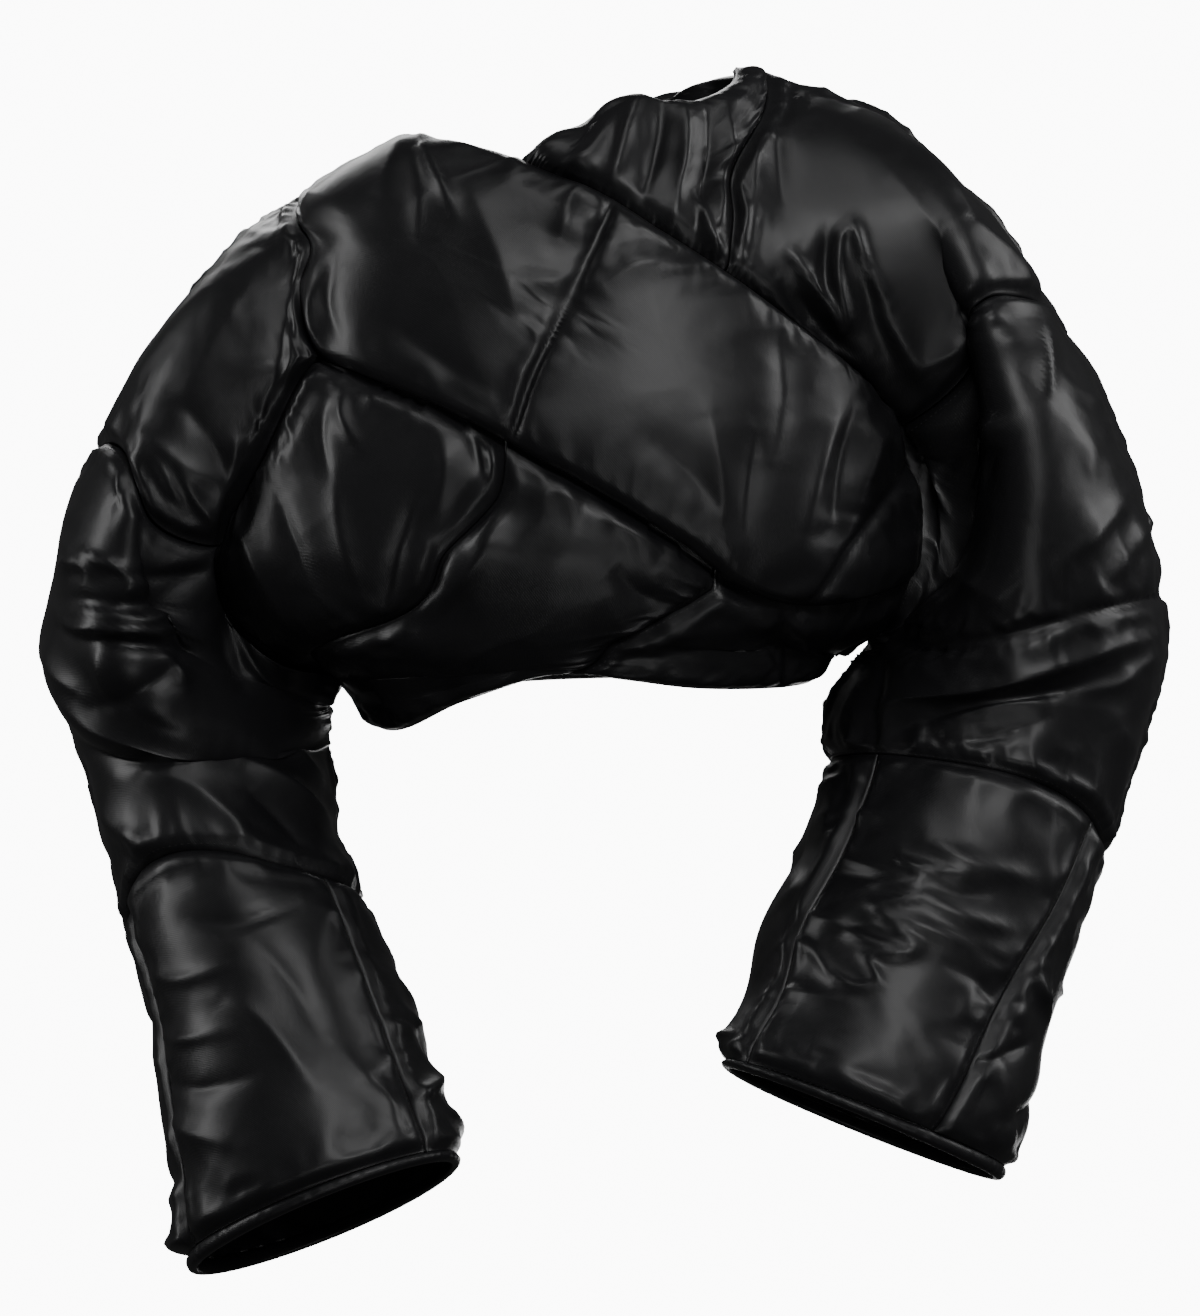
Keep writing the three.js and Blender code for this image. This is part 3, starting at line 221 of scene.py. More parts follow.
# Main creases by piece, traced in the photograph's pixels: the crease's path, its width and its
# height in millimetres, below 0 for a trough
CREASES = {
    "front_wrap": [
        ([(428, 140), (440, 180), (462, 228)], 8, 6), ([(424, 142), (408, 180), (392, 222)], 9, 3.5),
        ([(430, 150), (428, 200), (426, 250)], 7, -3), ([(330, 290), (322, 320), (326, 345)], 7, 4),
        ([(345, 270), (338, 310), (350, 345)], 7, -3), ([(470, 190), (500, 260), (520, 330)], 16, 3),
        ([(560, 320), (545, 360), (520, 420)], 9, 3), ([(400, 330), (450, 370), (500, 400)], 12, -3),
        ([(838, 410), (826, 460), (819, 527)], 10, -5), ([(822, 420), (805, 470), (790, 540)], 10, 4),
        ([(870, 420), (850, 470), (838, 520)], 9, 4), ([(765, 330), (772, 400), (760, 470)], 14, -4),
        ([(700, 420), (712, 480), (716, 540)], 12, 3), ([(745, 430), (738, 490), (735, 550)], 10, -3),
        ([(905, 470), (915, 520), (912, 560)], 8, 4), ([(600, 290), (640, 270), (690, 275)], 14, 3),
        ([(640, 440), (680, 470), (720, 520)], 12, -3), ([(560, 250), (572, 210), (590, 195)], 7, 3),
    ],
    "front_lower_right": [
        ([(391, 610), (400, 560), (420, 500)], 9, -4), ([(372, 600), (352, 540), (345, 470)], 10, 3.5),
        ([(350, 395), (352, 420), (366, 450)], 7, 4), ([(335, 400), (330, 440), (340, 480)], 7, -3),
        ([(470, 425), (478, 450), (490, 485)], 6, -5), ([(495, 440), (497, 470), (500, 492)], 5, 4),
        ([(300, 560), (330, 590), (370, 620)], 8, 4), ([(290, 500), (310, 560), (340, 610)], 10, -4),
        ([(240, 520), (270, 560), (300, 620)], 9, 3), ([(440, 430), (450, 470), (440, 520)], 9, 3),
    ],
    "front_lower_centre": [
        ([(505, 460), (520, 470), (550, 490)], 6, -4), ([(520, 500), (570, 490), (600, 500)], 10, 3),
        ([(600, 510), (632, 530), (650, 540)], 6, 4), ([(610, 560), (640, 590), (690, 600)], 10, -3),
        ([(430, 600), (470, 570), (510, 510)], 12, 3), ([(380, 660), (400, 690), (400, 720)], 9, 3),
    ],
    "front_lower_left": [
        ([(790, 600), (800, 630), (812, 660)], 7, 4), ([(770, 610), (762, 640), (770, 670)], 6, -3),
        ([(640, 640), (680, 620), (720, 595)], 8, 3), ([(600, 655), (650, 650), (700, 640)], 9, -2.5),
    ],
    "front_left_yoke": [
        ([(640, 105), (625, 140), (610, 190)], 7, 5), ([(660, 105), (655, 150), (640, 210)], 7, -5),
        ([(678, 105), (680, 150), (670, 225)], 7, 5), ([(700, 105), (702, 160), (690, 245)], 7, -5),
        ([(716, 110), (722, 170), (708, 250)], 6, 4), ([(610, 130), (590, 160), (560, 180)], 8, 4),
        ([(545, 160), (560, 178), (590, 185)], 5, 3), ([(690, 200), (700, 230), (716, 262)], 5, 4),
    ],
    "sleeve_left_cap_front": [
        ([(783, 258), (800, 278), (822, 304), (834, 330)], 5, 6),
        ([(836, 330), (841, 318), (831, 276), (834, 243)], 5, 6),
        ([(836, 240), (848, 236), (861, 269), (884, 304)], 5.5, 6),
        ([(950, 230), (985, 262), (1011, 286), (1030, 316)], 7, 4.5),
        ([(900, 150), (930, 190), (960, 240)], 8, 3), ([(790, 290), (812, 320), (838, 345)], 7, -5),
        ([(770, 280), (800, 320), (842, 352)], 9, -6), ([(822, 240), (822, 280), (820, 300)], 8, -5),
        ([(858, 250), (868, 310), (900, 370)], 10, -4), ([(880, 180), (940, 240), (1030, 300)], 22, 4),
        ([(740, 110), (745, 180), (738, 250)], 9, 4), ([(760, 110), (772, 160), (778, 220)], 10, -3),
        ([(920, 360), (960, 345), (1000, 320)], 10, 4), ([(870, 300), (900, 340), (925, 375)], 9, 4),
    ],
    "sleeve_left_middle_front": [
        ([(1028, 328), (1032, 360), (1038, 410)], 6, 5),
        ([(1037, 323), (1065, 351), (1087, 382), (1106, 425)], 7, 4),
        ([(985, 410), (991, 421), (1006, 423), (998, 448), (985, 490)], 5, 6),
        ([(933, 473), (940, 490), (950, 512)], 6, 4), ([(1117, 486), (1091, 523), (1058, 560)], 8, 4),
        ([(1130, 520), (1110, 560), (1090, 585)], 8, 3), ([(1012, 440), (1000, 480), (985, 530)], 8, -5),
        ([(970, 420), (960, 450), (945, 480)], 8, -5), ([(1000, 345), (1020, 380), (1050, 420)], 12, -3),
        ([(1060, 430), (1090, 470), (1105, 510)], 16, 3),
        ([(872, 722), (960, 690), (1060, 655), (1146, 632)], 11, 8),
        ([(880, 745), (960, 715), (1050, 690), (1120, 668)], 10, -6),
        ([(952, 727), (1000, 706), (1048, 698)], 8, 5), ([(930, 745), (985, 742), (1040, 720)], 8, -4),
        ([(890, 640), (950, 655), (1000, 640)], 10, -4), ([(870, 700), (860, 740), (895, 790)], 8, 5),
        ([(845, 760), (870, 775), (900, 800)], 7, 5), ([(900, 660), (890, 700), (885, 740)], 8, -5),
        ([(1060, 690), (1100, 680), (1142, 650)], 9, 5),
        ([(1100, 720), (1118, 760), (1096, 830)], 12, 3),
        ([(960, 770), (1000, 790), (1060, 780)], 12, 4), ([(930, 560), (960, 580), (1010, 600)], 12, 3),
        ([(1130, 480), (1140, 540), (1148, 600)], 6, 4), ([(915, 640), (940, 620), (960, 600)], 8, 4),
        ([(1080, 350), (1100, 400), (1120, 450)], 8, 4),
    ],
    "sleeve_left_lower_front": [
        ([(902, 863), (907, 871), (925, 886)], 4.5, 4), ([(925, 886), (914, 893), (874, 894)], 4.5, 4),
        ([(841, 868), (882, 878), (916, 888)], 5, 3.5), ([(907, 872), (932, 878), (975, 883)], 5, 3.5),
        ([(927, 903), (899, 911), (877, 914)], 5, 4.5), ([(877, 914), (886, 928), (915, 952)], 4.5, 4.5),
        ([(915, 952), (906, 961), (867, 964)], 4.5, 4.5),
        ([(813, 923), (849, 936), (877, 952), (909, 953)], 5, 4),
        ([(880, 918), (907, 929), (960, 950)], 6, 3.5), ([(867, 964), (876, 979), (882, 992)], 4.5, 4),
        ([(882, 992), (858, 995), (838, 979)], 5, 3.5),
        ([(786, 936), (806, 947), (826, 962), (840, 990)], 6, 4),
        ([(900, 940), (870, 930), (840, 945)], 7, -3.5), ([(930, 895), (960, 900), (990, 895)], 8, -3),
        ([(930, 850), (970, 870), (1020, 880)], 8, 4), ([(820, 870), (850, 880), (880, 885)], 7, -3.5),
        ([(930, 965), (970, 985), (1000, 1030)], 9, -3), ([(830, 840), (860, 826), (900, 822)], 7, 4),
        ([(925, 905), (960, 922), (1000, 930)], 7, 3.5), ([(770, 980), (800, 1000), (850, 1010)], 8, 3),
    ],
    "sleeve_right_cap_front": [
        ([(300, 300), (280, 380), (250, 460)], 12, -3), ([(280, 260), (230, 340), (180, 420)], 16, 3),
        ([(240, 290), (190, 340), (150, 400)], 12, 4), ([(170, 340), (140, 400), (110, 455)], 14, 4),
        ([(180, 400), (210, 440), (240, 500)], 12, -3), ([(300, 330), (300, 380), (280, 430)], 9, 3),
        ([(150, 440), (190, 470), (230, 480)], 10, 3), ([(157, 462), (169, 483), (181, 505)], 6, 4),
        ([(182, 473), (197, 501), (218, 522)], 6, 4),
    ],
    "sleeve_right_middle_front": [
        ([(95, 516), (79, 527), (78, 540), (94, 558)], 5, 5),
        ([(95, 553), (120, 566), (128, 582), (125, 598)], 5, 6),
        ([(68, 581), (90, 566), (106, 572), (102, 584)], 6, 6),
        ([(68, 603), (84, 612), (95, 623), (129, 630), (178, 644)], 5, 6),
        ([(92, 607), (132, 618), (169, 627), (208, 642)], 5, 6),
        ([(74, 596), (120, 604), (190, 608)], 8, -5), ([(80, 628), (129, 642), (175, 655)], 7, -6),
        ([(149, 651), (166, 673), (172, 690)], 7, 5),
        ([(225, 606), (230, 634), (243, 662), (262, 684)], 6, 5),
        ([(112, 640), (120, 670), (130, 700)], 8, 3), ([(135, 600), (160, 590), (205, 560)], 12, -4),
        ([(212, 612), (216, 650), (230, 690)], 8, -4), ([(100, 575), (150, 575), (200, 566)], 8, -5),
        ([(240, 610), (270, 640), (310, 665)], 8, 5), ([(215, 600), (230, 640), (235, 680)], 8, -5),
        ([(75, 690), (110, 720), (160, 740), (210, 746)], 10, 6),
        ([(80, 720), (120, 750), (180, 770)], 9, -5), ([(230, 745), (270, 760), (320, 800)], 8, 6),
        ([(232, 773), (280, 800), (335, 852)], 7, 7), ([(240, 800), (280, 840), (310, 885)], 8, -5),
        ([(270, 765), (300, 750), (326, 735)], 6, 5), ([(100, 780), (140, 830), (190, 860)], 10, 5),
        ([(120, 830), (160, 870), (210, 880)], 9, -4), ([(150, 770), (200, 800), (250, 860)], 12, 4),
        ([(60, 640), (75, 670), (100, 690)], 8, 4), ([(180, 640), (150, 680), (110, 700)], 11, -4),
        ([(300, 700), (320, 720), (330, 760)], 7, 4),
    ],
    "sleeve_right_lower_front": [
        ([(160, 965), (190, 980), (240, 972)], 7, 2.5), ([(150, 1024), (190, 1040), (240, 1034)], 7, 2.5),
        ([(230, 1000), (270, 1030), (310, 1090)], 10, 4), ([(250, 940), (290, 990), (320, 1050)], 12, -3),
        ([(170, 1080), (210, 1090), (260, 1080)], 8, -3), ([(165, 1110), (200, 1130), (250, 1150)], 9, 3),
        ([(330, 900), (350, 940), (370, 1000)], 9, 3), ([(200, 920), (240, 930), (300, 910)], 9, -4),
        ([(340, 1060), (370, 1100), (400, 1130)], 10, 3),
    ],
}

# Stitched quilt lines inside a piece: as they show in the photograph, or in the piece's own (across, down)
SEEN_QUILTS = {
    "front_wrap": [[(616, 200), (571, 303), (532, 386), (513, 447)],
                   [(916, 425), (872, 495), (833, 551), (797, 600)]],
    "front_lower_left": [[(776, 605), (777, 645), (776, 700)]],
    "sleeve_left_middle_front": [[(880, 640), (946, 647), (1010, 634), (1074, 612), (1160, 594)],
                                 [(1050, 330), (1087, 380), (1106, 432), (1123, 468), (1134, 505),
                                  (1144, 548), (1152, 592)]],
}
QUILTS = {
    "back": [((0, 0.34), (1, 0.34)), ((0, 0.68), (1, 0.68))],
    "sleeve_left_middle_back": [((0, 0.62), (1, 0.42))],
}


def smooth(low, high, x):
    """Rises from 0 at low to 1 at high, as 3t^2 - 2t^3."""
    t = np.clip((np.asarray(x, float) - low) / (high - low), 0, 1)
    return t * t * (3 - 2 * t)


def unit(v):
    """v over its length, along the last axis."""
    return v / np.maximum(np.linalg.norm(v, axis=-1, keepdims=True), 1e-12)


# The body's surface

SECTION_Z = -np.array(BODY["z"], float)


def column(key, z):
    """The body's value at height z: a cubic through the rows, with each row's slope the harmonic mean of
    the slopes beside it, so that it never overshoots."""
    value = np.array(BODY[key], float)
    step = np.diff(SECTION_Z)
    slope = np.diff(value) / step
    both = slope[:-1] * slope[1:]
    mean = np.where(both > 0, 2 * both / np.where(both > 0, slope[:-1] + slope[1:], 1), 0)
    tangent = np.concatenate([[0], mean, [0]])
    k = np.clip(np.searchsorted(SECTION_Z, -z, side="left") - 1, 0, len(step) - 1)
    f = np.clip((-z - SECTION_Z[k]) / step[k], 0, 1)
    return (value[k] * (2 * f**3 - 3 * f**2 + 1) + value[k + 1] * (3 * f**2 - 2 * f**3)
            + step[k] * (tangent[k] * (f**3 - 2 * f**2 + f) + tangent[k + 1] * (f**3 - f**2)))


def signed_power(value, power):
    """The value's size to a power, with its sign kept."""
    return np.sign(value) * np.abs(value) ** power


def body_place(angle, z):
    """The body's point at an angle and a height: half widths times the angle's cosine, depths times its
    sine. Angle 0 is the wearer's left side and a quarter turn is the front."""
    right, left = column("right", z), column("left", z)
    s, c = signed_power(np.sin(angle), ROUND), signed_power(np.cos(angle), ROUND)
    depth = np.where(s > 0, column("front", z), column("back", z))
    return np.stack([(right + left) / 2 + c * (left - right) / 2, -s * depth, z + 0 * c], -1)


def normal_of(place, a, b, step_a, step_b, sign):
    """Unit normal of a surface, from the cross product of small steps both ways."""
    across = place(a + step_a, b) - place(a - step_a, b)
    down = place(a, b + step_b) - place(a, b - step_b)
    return unit(np.cross(across, down)) * sign


def body_normal(angle, z):
    """Unit normal of the body, outwards."""
    return normal_of(body_place, angle, z, 0.01, 1.0, -1)


def spline(points, steps):
    """Points evenly spaced by length along a Catmull-Rom curve through the given ones."""
    p = np.asarray(points, float)
    last = len(p) - 1

    def at(t):
        k = np.clip(np.floor(t * last).astype(int), 0, last)
        f = (t * last - k)[:, None]
        p0, p1 = p[np.maximum(k - 1, 0)], p[k]
        p2, p3 = p[np.minimum(k + 1, last)], p[np.minimum(k + 2, last)]
        p0 = np.where((k == 0)[:, None], p1, p0)
        v0, v1 = (p2 - p0) / 2, (p3 - p1) / 2
        return (2 * p1 - 2 * p2 + v0 + v1) * f**3 + (3 * p2 - 3 * p1 - 2 * v0 - v1) * f**2 + v0 * f + p1

    if last == 1:
        return p[0] + np.linspace(0, 1, steps + 1)[:, None] * (p[1] - p[0])
    t = np.linspace(0, 1, 201)
    length = np.concatenate([[0], np.cumsum(np.linalg.norm(np.diff(at(t), axis=0), axis=1))])
    return at(np.interp(np.linspace(0, length[-1], steps + 1), length, t))


def body_line(name, steps=None):
    """A seam's points as (angle, z), spaced evenly along it."""
    count, behind, points = BODY_LINES[name]
    xz = np.array(points, float)
    right, left = column("right", xz[:, 1]), column("left", xz[:, 1])
    c = np.clip((2 * xz[:, 0] - right - left) / (left - right), -1, 1)
    angle = np.arccos(signed_power(c, 1 / ROUND))
    angle = 2 * np.pi - angle if behind else angle
    flat = spline(np.stack([angle * RADIAN_LONG, xz[:, 1]], 1), steps or count * DENSE)
    return flat / [RADIAN_LONG, 1]


def chain(*lines):
    """Lines joined end to end into one side of a piece."""
    return np.concatenate([lines[0]] + [line[1:] for line in lines[1:]])


def straight(start, end, steps):
    """A straight side from start to end, evenly spaced."""
    return np.array(start, float) + np.linspace(0, 1, steps * DENSE + 1)[:, None] * np.subtract(end, start)


def from_back(points):
    """The same points of the left side, met from the back, a whole turn on."""
    return np.stack([np.full(len(points), 2 * np.pi), points[:, 1]], 1)


class Body:
    """The body's surface, with the same two methods as a sleeve."""
    place = staticmethod(body_place)
    normal = staticmethod(body_normal)


# The sleeves' surfaces

HOLE_POINTS = 240


class Sleeve:
    """along runs from 0 at the armhole, one for each ring, and round from 0 at the outer edge over the
    front to 1 at the inner edge and over the back to 2."""

    def __init__(self, spec):
        self.spec, self.sign = spec, spec["sign"]
        self.rings = np.array(spec["rings"], float)
        rounds, places, normals = [], [], []
        for name, (start, end) in spec["armhole"].items():
            line = body_line(name, HOLE_POINTS)
            rounds.append(np.linspace(start, end, len(line)))
            places.append(body_place(line[:, 0], line[:, 1]))
            normals.append(body_normal(line[:, 0], line[:, 1]))
        order = np.argsort(np.concatenate(rounds), kind="stable")
        self.hole_round = np.concatenate(rounds)[order]
        self.hole_place = np.concatenate(places)[order]
        self.hole_normal = np.concatenate(normals)[order]

    def at_hole(self, table, rounds):
        """A table of the armhole's places or normals, read at the given rounds."""
        return np.stack([np.interp(rounds % 2, self.hole_round, table[:, k]) for k in range(3)], -1)

    def ring(self, k, rounds):
        """A ring's points: an ellipse between its edges, bowed towards the cuff; ring 0 is the armhole."""
        row = self.rings[np.clip(k - 1, 0, len(self.rings) - 1)]
        c, s = np.cos(np.pi * rounds), np.sin(np.pi * rounds)
        outer, inner = row[..., 0:2], row[..., 2:4]
        half = (outer - inner) / 2
        toward = unit(np.stack([-half[..., 1], half[..., 0]], -1)) * self.sign
        bow = row[..., 7] * np.abs(s) ** BOW_ROUND * (1 - row[..., 8] * c)
        p = (outer + inner) / 2 + half * c[..., None] + toward * bow[..., None]
        depth = np.where(s > 0, row[..., 5] * s * (1 + row[..., 9] * c), row[..., 6] * s)
        ringed = np.stack([p[..., 0], row[..., 4] - depth, p[..., 1] + row[..., 10] * s], -1)
        return np.where((k <= 0)[..., None], self.at_hole(self.hole_place, rounds), ringed)

    def place(self, along, rounds):
        """A Catmull-Rom curve through the rings, with soft valleys near the armhole."""
        along, rounds = np.broadcast_arrays(np.asarray(along, float), np.asarray(rounds, float))
        last = len(self.rings)
        k = np.clip(np.floor(along), 0, last - 1).astype(int)
        f = (along - k)[..., None]
        p1, p2 = self.ring(k, rounds), self.ring(k + 1, rounds)
        p0 = np.where((k > 0)[..., None], self.ring(k - 1, rounds), 2 * p1 - p2)
        p3 = np.where((k + 1 < last)[..., None], self.ring(np.minimum(k + 2, last), rounds), 2 * p2 - p1)
        p = p1 + 0.5 * f * (p2 - p0 + f * (2 * p0 - 5 * p1 + 4 * p2 - p3 + f * (3 * (p1 - p2) + p3 - p0)))
        for centre, reach, run, deep in self.spec["valleys"]:
            s = along / run
            near = np.exp(-(((rounds - centre) / reach) ** 2)) * np.sin(np.pi * rounds) ** 2
            p[..., 1] += deep * s * np.exp(1 - s) * near
        return p

    def normal(self, along, rounds):
        """The sleeve's own normal, turned to the body's at the armhole so that the walls meet."""
        own = normal_of(self.place, np.maximum(along, 0.06), rounds, 0.05, 0.01, self.sign)
        blend = smooth(0, 0.5, along)[..., None]
        return unit(self.at_hole(self.hole_normal, rounds) * (1 - blend) + own * blend)

    def hole_line(self, names):
        """Part of the armhole as points of (along, round)."""
        return chain(*[straight((0, self.spec["armhole"][n][0]), (0, self.spec["armhole"][n][1]),
                                BODY_LINES[n][0]) for n in names])

    @staticmethod
    def line(rows, steps):
        """A smooth line through rows of (along, round)."""
        return spline(np.array(rows, float) * SLEEVE_LONG, steps * DENSE) / SLEEVE_LONG


# Padded walls


def resampled(points, count):
    """The side's points at count + 1 even places."""
    at = np.linspace(0, len(points) - 1, count + 1)
    return np.stack([np.interp(at, np.arange(len(points)), points[:, k]) for k in range(2)], 1)


def fill(top, bottom, left, right):
    """A grid over four sides: the mean of the two ways across less the corners' own, rows from the top."""
    u = np.linspace(0, 1, len(top))[None, :, None]
    v = np.linspace(0, 1, len(left))[:, None, None]
    corners = ((1 - u) * (1 - v) * top[0] + u * (1 - v) * top[-1]
               + (1 - u) * v * bottom[0] + u * v * bottom[-1])
    return (top[None] * (1 - v) + bottom[None] * v + left[:, None] * (1 - u) + right[:, None] * u - corners)


def draw_in(places, slack):
    """The grid with its outline moved in from the seams by a small gap, slack times as wide."""
    moved = places.copy()
    step = SEAM_GAP * slack
    moved[0] += unit(places[1] - places[0]) * step
    moved[-1] += unit(places[-2] - places[-1]) * step
    moved[:, 0] += unit(places[:, 1] - places[:, 0]) * step
    moved[:, -1] += unit(places[:, -2] - places[:, -1]) * step
    return moved


def seen(places):
    """Where points show in the photograph, as pixels across and down: away from the camera's axis by the
    same share of their distance."""
    share = -CAMERA[1] / (places[..., 1] - CAMERA[1]) / PIXEL
    return np.stack([PHOTO_WIDE / 2 + (places[..., 0] - CAMERA[0]) * share,
                     PHOTO_HIGH / 2 - (places[..., 2] - CAMERA[2]) * share], -1)


def path_distance(points, path):
    """Distance from each point to a path, and how far along the path that is, 0 to 1."""
    best, along = np.full(points.shape[:-1], np.inf), np.zeros(points.shape[:-1])
    path = np.array(path, float)
    lengths = np.linalg.norm(np.diff(path, axis=0), axis=1)
    done = 0.0
    for a, b, length in zip(path[:-1], path[1:], lengths):
        t = np.clip(((points - a) @ (b - a)) / length**2, 0, 1)
        d = np.linalg.norm(points - a - t[..., None] * (b - a), axis=-1)
        along = np.where(d < best, (done + t * length) / lengths.sum(), along)
        best = np.minimum(best, d)
        done += length
    return best, along


def rounded(path):
    """A crease's path drawn as a smooth curve."""
    return spline(path, 8 * (len(path) - 1))


# Distance across the wrap's slanting long edges for each millimetre of height, where the wrap ends at the
# left, and how far inside its outline it presses the panels below flat
WRAP_SLANT = 0.85
WRAP_END = 208
PRESSED = 3


def wrap_clear(p):
    """How far places lie outside the wrap's outline; below 0 they are under the wrap."""
    upper = np.array(BODY_LINES["neck_wrap"][2] + BODY_LINES["wrap_upper"][2][1:], float)
    lower = np.array(BODY_LINES["wrap_lower_right"][2] + BODY_LINES["wrap_lower_middle"][2][1:]
                     + BODY_LINES["wrap_lower_left"][2][1:], float)
    above = p[..., 2] - np.interp(p[..., 0], upper[:, 0], upper[:, 1])
    below = np.interp(p[..., 0], lower[:, 0], lower[:, 1]) - p[..., 2]
    return np.maximum.reduce([np.maximum(above, below) * WRAP_SLANT, p[..., 0] - WRAP_END, p[..., 1]])


def swell(distance, reach=SWELL, power=2.0):
    """How far a padded wall has swelled at a distance from a stitched line, 0 to 1; a power near 1 makes
    the line a sharp groove."""
    return 1 - np.exp(-((np.maximum(distance, 0) / reach) ** power))


SIDES = ("top", "bottom", "left", "right")


def side_distances(places):
    """Distances to the four sides along the grid's own rows and columns."""
    return {"top": np.linalg.norm(places - places[:1], axis=-1),
            "bottom": np.linalg.norm(places - places[-1:], axis=-1),
            "left": np.linalg.norm(places - places[:, :1], axis=-1),
            "right": np.linalg.norm(places - places[:, -1:], axis=-1)}


# How gathers differ: place in shares of their spacing, lean, and length, half width and height in shares
# of those given; how sharp their ridges are, and how deep the cloth dips between them
SHIFT, LEAN = 0.4, 0.7
LONG_RANGE, WIDE_RANGE, HIGH_RANGE = (0.4, 1.5), (0.2, 0.42), (0.2, 1.3)
RIDGE_SHARP = 1.4
DIP = 0.4


def gathers(rng, away, run, kind, scale=1.0):
    """Puckers that start at a seam and fade inwards: for each, a ridge across the seam's run, leaning a
    little, times a bell over the distance away from the seam; all less a shallow dip, and 0 at the seam."""
    spacing, long, high = kind[0], kind[1], kind[2] * scale
    length = float(run.max())
    count = max(2, int(length / spacing))
    start = (np.arange(count) + rng.uniform(-SHIFT, SHIFT, count)) * length / count
    sum_of = np.zeros_like(away)
    for s in start:
        lean, reach = rng.uniform(-LEAN, LEAN), long * rng.uniform(*LONG_RANGE)
        wide, tall = spacing * rng.uniform(*WIDE_RANGE), high * rng.uniform(*HIGH_RANGE)
        across = np.abs(run - s - lean * away) / (wide * (1 + away / long))
        sum_of += tall * np.exp(-(across ** RIDGE_SHARP)) * np.exp(-((away / reach) ** 2))
    return (sum_of - DIP * high * np.exp(-((away / long) ** 2))) * swell(away, 4.0)


def blurred(field, times):
    """Each value averaged with its neighbours, as often as times says, edges kept."""
    for _ in range(times):
        padded = np.pad(field, 1, mode="edge")
        field = (padded[1:-1, :-2] + padded[1:-1, 2:] + padded[:-2, 1:-1] + padded[2:, 1:-1]
                 + 4 * padded[1:-1, 1:-1]) / 8
    return field


CREST_SHARP = 1.35
CREST_WIDE = 0.7


def crease(distance, along, wide, high):
    """A soft ridge or trough: a bell with a sharpened crest across, fading out at both ends."""
    reach = np.sin(np.pi * np.clip(along, 0.04, 0.96)) ** 0.6
    return high * reach * np.exp(-((distance / (CREST_WIDE * wide)) ** CREST_SHARP))


# Part of the simulated wrinkles that is left far from a seam, how far in from it the rest reach, and how
# quickly they and the creases grow where the wall begins to swell
FAR_WRINKLES = 0.2
WRINKLE_REACH = 24
LOOSE = 1.6


